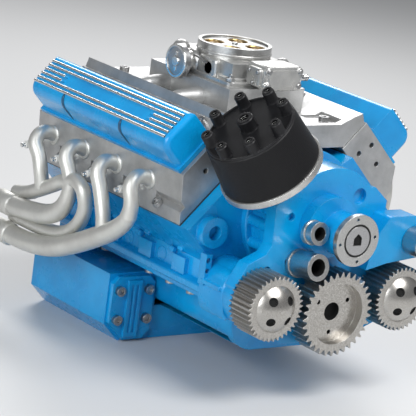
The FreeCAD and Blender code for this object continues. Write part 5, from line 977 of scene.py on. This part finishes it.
class ENGINE_OT_distributor(bpy.types.Operator):
    """Puts sleeves and terminals on the distributor cap's towers and a bead round its crown"""

    bl_idname = "engine.distributor"
    bl_label = "Distributor"

    def execute(self, context):
        lean, offset = DISTRIBUTOR_LEAN, 7.8
        axis = (-math.sin(lean), 0, math.cos(lean))
        across = (math.cos(lean), 0, math.sin(lean))
        foot = (-offset * math.cos(lean), DECK_FRONT - 22.6, CAM_HEIGHT - offset * math.sin(lean))
        place = seat(foot, axis, across)
        crown, tower_top, tower_circle, first_tower = 60.0, 65.6, 16.5, 12
        metal, collars = bmesh.new(), bmesh.new()
        towers = [(0.0, 0.0, 3.2, 2.0)]
        for k in range(8):
            angle = math.radians(45 * k + first_tower)
            towers.append((tower_circle * math.cos(angle), tower_circle * math.sin(angle), 2.1, 1.3))
        for x, y, outer, inner in towers:
            here = place @ Matrix.Translation((x, y, 0))
            cup, bore, wide = inner - 0.02, inner - 0.45, outer + 0.4
            lathe(metal, here, [(0, 64.0), (cup, 64.0), (cup, 65.4), (bore, 65.4), (bore, 64.6),
                                (0, 64.6)], 24)
            sleeve = [(inner + 0.3, crown), (outer + 0.75, crown), (outer + 0.5, crown + 0.5),
                      (wide, crown + 1), (wide, tower_top - 0.4), (outer + 0.1, tower_top),
                      (inner + 0.3, tower_top)]
            lathe(collars, here, sleeve, 32)
        bead = [(18.0, crown), (19.1, crown), (18.95, crown + 0.45), (18.5, crown + 0.65),
                (18.05, crown + 0.45)]
        lathe(collars, place, bead, 80)
        finish_piece(metal, "cap_terminals", "oiled steel")
        finish_piece(collars, "cap_collars", "moulded black")
        return {"FINISHED"}


class ENGINE_OT_front(bpy.types.Operator):
    """Adds the timing case's flange ring, bosses, dome nuts, side lugs and ears"""

    bl_idname = "engine.front"
    bl_label = "Front case"

    def execute(self, context):
        blue = bmesh.new()
        flange = [(24.6, 0), (28.0, 0), (28.4, 0.4), (28.4, 3.2), (24.6, 3.2)]
        lathe(blue, seat((0, -131.2, CAM_HEIGHT), (0, 1, 0)), flange, 96)
        lug = ((44.9, -3.5), (45.9, 1.0), (45.9, 8.0), (43.6, 12.6), (40.6, 14.6), (37.0, 14.6),
               (37.0, -6.0), (42.6, -6.0))
        step = ((45.0, 5.6), (47.0, 6.4), (47.0, 8.0), (45.0, 8.8))
        ear = [(44 + x, 27.5 + z) for x, z in polygon(8, 7.5, math.pi / 8)]
        plates = ((PLATE_BACK, lug, 16.5, 1.0), (-130.0, step, 13, 0.4), (-125.0, ear, 3.2, 0.4))
        for _, side in SIDES:
            for x, z in ((25.6, 39.6), (25.3, 32.4), (23.7, 22.8)):
                lathe(blue, seat((side * x, PLATE_FRONT, z), (0, 1, 0)),
                      [(0, 0), (2.5, 0), (2.5, 13.4), (0, 13.4)], 28)
            for x, y, z in ((32.6, -140.5, 16.4), (27.6, -146.2, 14.9)):
                nut = seat((side * x, y, z), (side * (x - WHEEL_OUT), 0, 12.3))
                slab(blue, nut, polygon(6, 1.9, 0.2), 0, 1.7, 0.2)
                ball(blue, nut @ Matrix.Translation((0, 0, 1.7)), 1.45, 0.0)
            for back, outline, thickness, chamfer in plates:
                slab(blue, front_seat(back), [(side * x, z) for x, z in outline], 0, thickness, chamfer)
        finish_piece(blue, "front_case_details", "enamel")
        return {"FINISHED"}


class ENGINE_OT_bores(bpy.types.Operator):
    """Lines the bores of pump, crank gear, hose pipes and wheel hubs with near-black painted shade, and
    adds the pump's seal lip
    """

    bl_idname = "engine.bores"
    bl_label = "Bores"

    def execute(self, context):
        forward = (0, -1, 0)
        rubber = bmesh.new()
        lathe(rubber, seat((0, -168.8, CAM_HEIGHT), forward),
              [(6.16, 0), (6.96, 0), (6.96, 0.3), (6.6, 0.48), (6.2, 0.3)], 64)
        finish_piece(rubber, "pump_seal_lip", "rubber")
        # A near-black slab in the pump rotor's key hole, painted shade
        hub = bmesh.new()
        key = [(-2.07, -1.97), (2.07, -1.97), (2.07, 1.08), (0, 2.97), (-2.07, 1.08)]
        slab(hub, front_seat(-166.75), [(x, CAM_HEIGHT + z) for x, z in key], 0, 1.9)
        finish_piece(hub, "pump_key_shade", "bore shade", body=body_of("water_pump_rotor"))
        # Near-black cups in the crank gear's centre bore and three bolt holes, painted shade
        gear = bmesh.new()
        bore_shade_cup(gear, (0, -156.75, 0), forward, 3.9, 2.7)
        for k in range(3):
            angle = math.radians(30 + 120 * k)
            bore_shade_cup(gear, (8.9 * math.cos(angle), -153.75, 8.9 * math.sin(angle)), forward, 1.0, 5.6)
        finish_piece(gear, "crank_gear_bore_shade", "bore shade", body=body_of("crank_gear"))
        # Near-black cups in the hose pipes' open ends, painted shade
        pipes = bmesh.new()
        along_pipe = (0, -0.9903, 0.1392)
        bore_shade_cup(pipes, (-14.6, -157.117, 33.909), along_pipe, 2.9, 5.2)
        bore_shade_cup(pipes, (-14.6, -151.006, 19.109), along_pipe, 3.7, 13.3)
        finish_piece(pipes, "hose_pipe_bore_shade", "bore shade")
        # Near-black lips in the four holes of each hub dome, painted shade
        hole, dome_depth, dome_radius, dome_y = 4.296, 10.46, 12.1, -157.1
        lip = [(0, -0.6), (1.95, -0.6), (1.95, -0.1), (1.45, -0.02), (1.45, -0.5), (0, -0.5)]
        for name, side in SIDES:
            rims = bmesh.new()
            centre = Vector((side * WHEEL_OUT, dome_y, WHEEL_UP))
            for x in (-hole, hole):
                for z in (-hole, hole):
                    outward = Vector((x, -dome_depth, z)).normalized()
                    lathe(rims, seat(centre + outward * dome_radius, outward), lip, 28)
            finish_piece(rims, f"hub_bore_shade_{name}", "bore shade",
                         body=body_of(f"wheel_hub_{name}"))
        return {"FINISHED"}


class ENGINE_OT_block(bpy.types.Operator):
    """Adds the block's rail strips, side lugs, core plugs and the manifold's runner bulges"""

    bl_idname = "engine.block"
    bl_label = "Block and manifold"

    def execute(self, context):
        blue, alloy, plugs = bmesh.new(), bmesh.new(), bmesh.new()
        rail = ((37.0, -0.9), (41.0, -0.9), (41.3, -0.6), (41.3, 1.6), (40.9, 2.1), (37.0, 3.2))
        core_plug = [(0, 0), (3.1, 0), (3.1, 0.5), (2.7, 0.7), (2.3, 0.2), (0, 0.2)]
        runner = ((18.8, 71.0), (25.0, 70.9), (30.4, 70.8), (34.4, 71.2))
        half_pitch = 12.2
        for _, side in SIDES:
            slab(blue, front_seat(-14.0), [(side * x, z) for x, z in rail], 0, 109.5, 0.4)
            for i in range(4):
                y = cylinder_y(side, i)
                lathe(plugs, seat((side * 37.2, y + half_pitch, 6.2), (side, 0, 0)), core_plug, 32)
                for trail, z in ((-3.0, 12.6), (3.2, 10.4)):
                    lug = seat((side * 38.2, y + trail, z), (side, 0, 0.35), (0, 1, 0))
                    slab(blue, lug, rounded(3.4, 2.4, 0.6), 0, 2.2, 0.4)
                if i in (1, 2):
                    pipe(alloy, [(side * x, y, z) for x, z in runner], [4.3, 4.0, 3.5, 1.9], steps=28)
        finish_piece(blue, "block_rails_and_lugs", "enamel")
        finish_piece(plugs, "core_plugs", "enamel")
        finish_piece(alloy, "runner_bulges", "cast alloy")
        return {"FINISHED"}


# ---- stage ---------------------------------------------------------------------------------------
def area_light(name, place, aim, size, power, colour=(1, 1, 1)):
    lamp = bpy.data.lights.new(name, "AREA")
    lamp.shape = "RECTANGLE"
    lamp.size, lamp.size_y = size
    lamp.energy = power
    lamp.color = colour
    thing = bpy.data.objects.new(name, lamp)
    bpy.context.scene.collection.objects.link(thing)
    thing.location = place
    thing.rotation_mode = "QUATERNION"
    thing.rotation_quaternion = (Vector(aim) - Vector(place)).to_track_quat("-Z", "Y")
    return thing


def build_floor():
    """A wide pale floor under the sump."""
    form = bmesh.new()
    bmesh.ops.create_grid(form, x_segments=1, y_segments=1, size=3.0)
    mesh = bpy.data.meshes.new("Floor")
    form.to_mesh(mesh)
    form.free()
    mesh.transform(Matrix.Translation((0, 0, CAD_BOX[0].z)))
    material = bpy.data.materials.new("Pale floor")
    material.use_nodes = True
    shader = material.node_tree.nodes["Principled BSDF"]
    shader.inputs["Base Color"].default_value = (0.62, 0.62, 0.62, 1)
    shader.inputs["Roughness"].default_value = 0.5
    mesh.materials.append(material)
    floor = bpy.data.objects.new("Floor", mesh)
    bpy.context.scene.collection.objects.link(floor)


def build_light():
    """A dim even sky, a key light from the front, a cool window from the left and a rim from behind."""
    world = bpy.data.worlds.new("Studio")
    world.use_nodes = True
    sky = world.node_tree.nodes["Background"]
    sky.inputs["Color"].default_value = (0.8, 0.82, 0.85, 1)
    sky.inputs["Strength"].default_value = 0.32
    bpy.context.scene.world = world
    aim = (0, -0.08, 0.02)
    area_light("Key", (0.1, -0.6, 0.75), aim, (0.5, 0.35), 6.8)
    area_light("Window", (-0.75, -0.35, 0.35), aim, (0.5, 0.5), 4.5, (0.95, 0.98, 1.0))
    area_light("Rim", (0.4, 0.5, 0.5), aim, (0.5, 0.3), 3.5)


def build_camera():
    """A long lens from the front left, a little above the engine and slightly rolled."""
    lens = bpy.data.cameras.new("Camera")
    lens.lens = 221.1
    lens.sensor_width = 36.0
    lens.clip_start, lens.clip_end = 0.05, 20.0
    camera = bpy.data.objects.new("Camera", lens)
    bpy.context.scene.collection.objects.link(camera)
    right = Vector((0.8025, -0.5822, 0.1306)).normalized()
    ahead = Vector((0.5953, 0.7664, -0.2412)).normalized()
    right = (right - ahead * right.dot(ahead)).normalized()
    turn = Matrix((right, right.cross(ahead), -ahead)).transposed().to_4x4()
    camera.matrix_world = Matrix.Translation((-0.6646, -0.9239, 0.2877)) @ turn
    bpy.context.scene.camera = camera


class ENGINE_OT_stage(bpy.types.Operator):
    """Sets the pale floor, the soft lights and the camera"""

    bl_idname = "engine.stage"
    bl_label = "Stage"

    def execute(self, context):
        build_floor()
        build_light()
        build_camera()
        context.scene.view_settings.view_transform = "Standard"
        return {"FINISHED"}


class ENGINE_PT_panel(bpy.types.Panel):
    """Lists the engine's steps in the sidebar"""

    bl_idname = "ENGINE_PT_panel"
    bl_label = "V8 engine"
    bl_space_type = "VIEW_3D"
    bl_region_type = "UI"
    bl_category = "V8 engine"

    def draw(self, context):
        for group in (context.scene.engine_finish, context.scene.engine_sizes):
            for field in type(group).__annotations__:
                self.layout.prop(group, field)
        for step in STEPS:
            self.layout.operator(step.bl_idname)


STEPS = (ENGINE_OT_stage, ENGINE_OT_finishes, ENGINE_OT_covers, ENGINE_OT_screws, ENGINE_OT_plugs,
         ENGINE_OT_headers, ENGINE_OT_carburettor, ENGINE_OT_distributor, ENGINE_OT_front,
         ENGINE_OT_bores, ENGINE_OT_block)
CLASSES = (EngineFinish, EngineSizes, *STEPS, ENGINE_PT_panel)


def register():
    for entry in CLASSES:
        bpy.utils.register_class(entry)
    bpy.types.Scene.engine_finish = bpy.props.PointerProperty(type=EngineFinish)
    bpy.types.Scene.engine_sizes = bpy.props.PointerProperty(type=EngineSizes)


def unregister():
    del bpy.types.Scene.engine_finish
    del bpy.types.Scene.engine_sizes
    for entry in reversed(CLASSES):
        bpy.utils.unregister_class(entry)


def main():
    register()
    for step in STEPS:
        group, action = step.bl_idname.split(".")
        getattr(getattr(bpy.ops, group), action)()


if __name__ == "__main__":
    main()
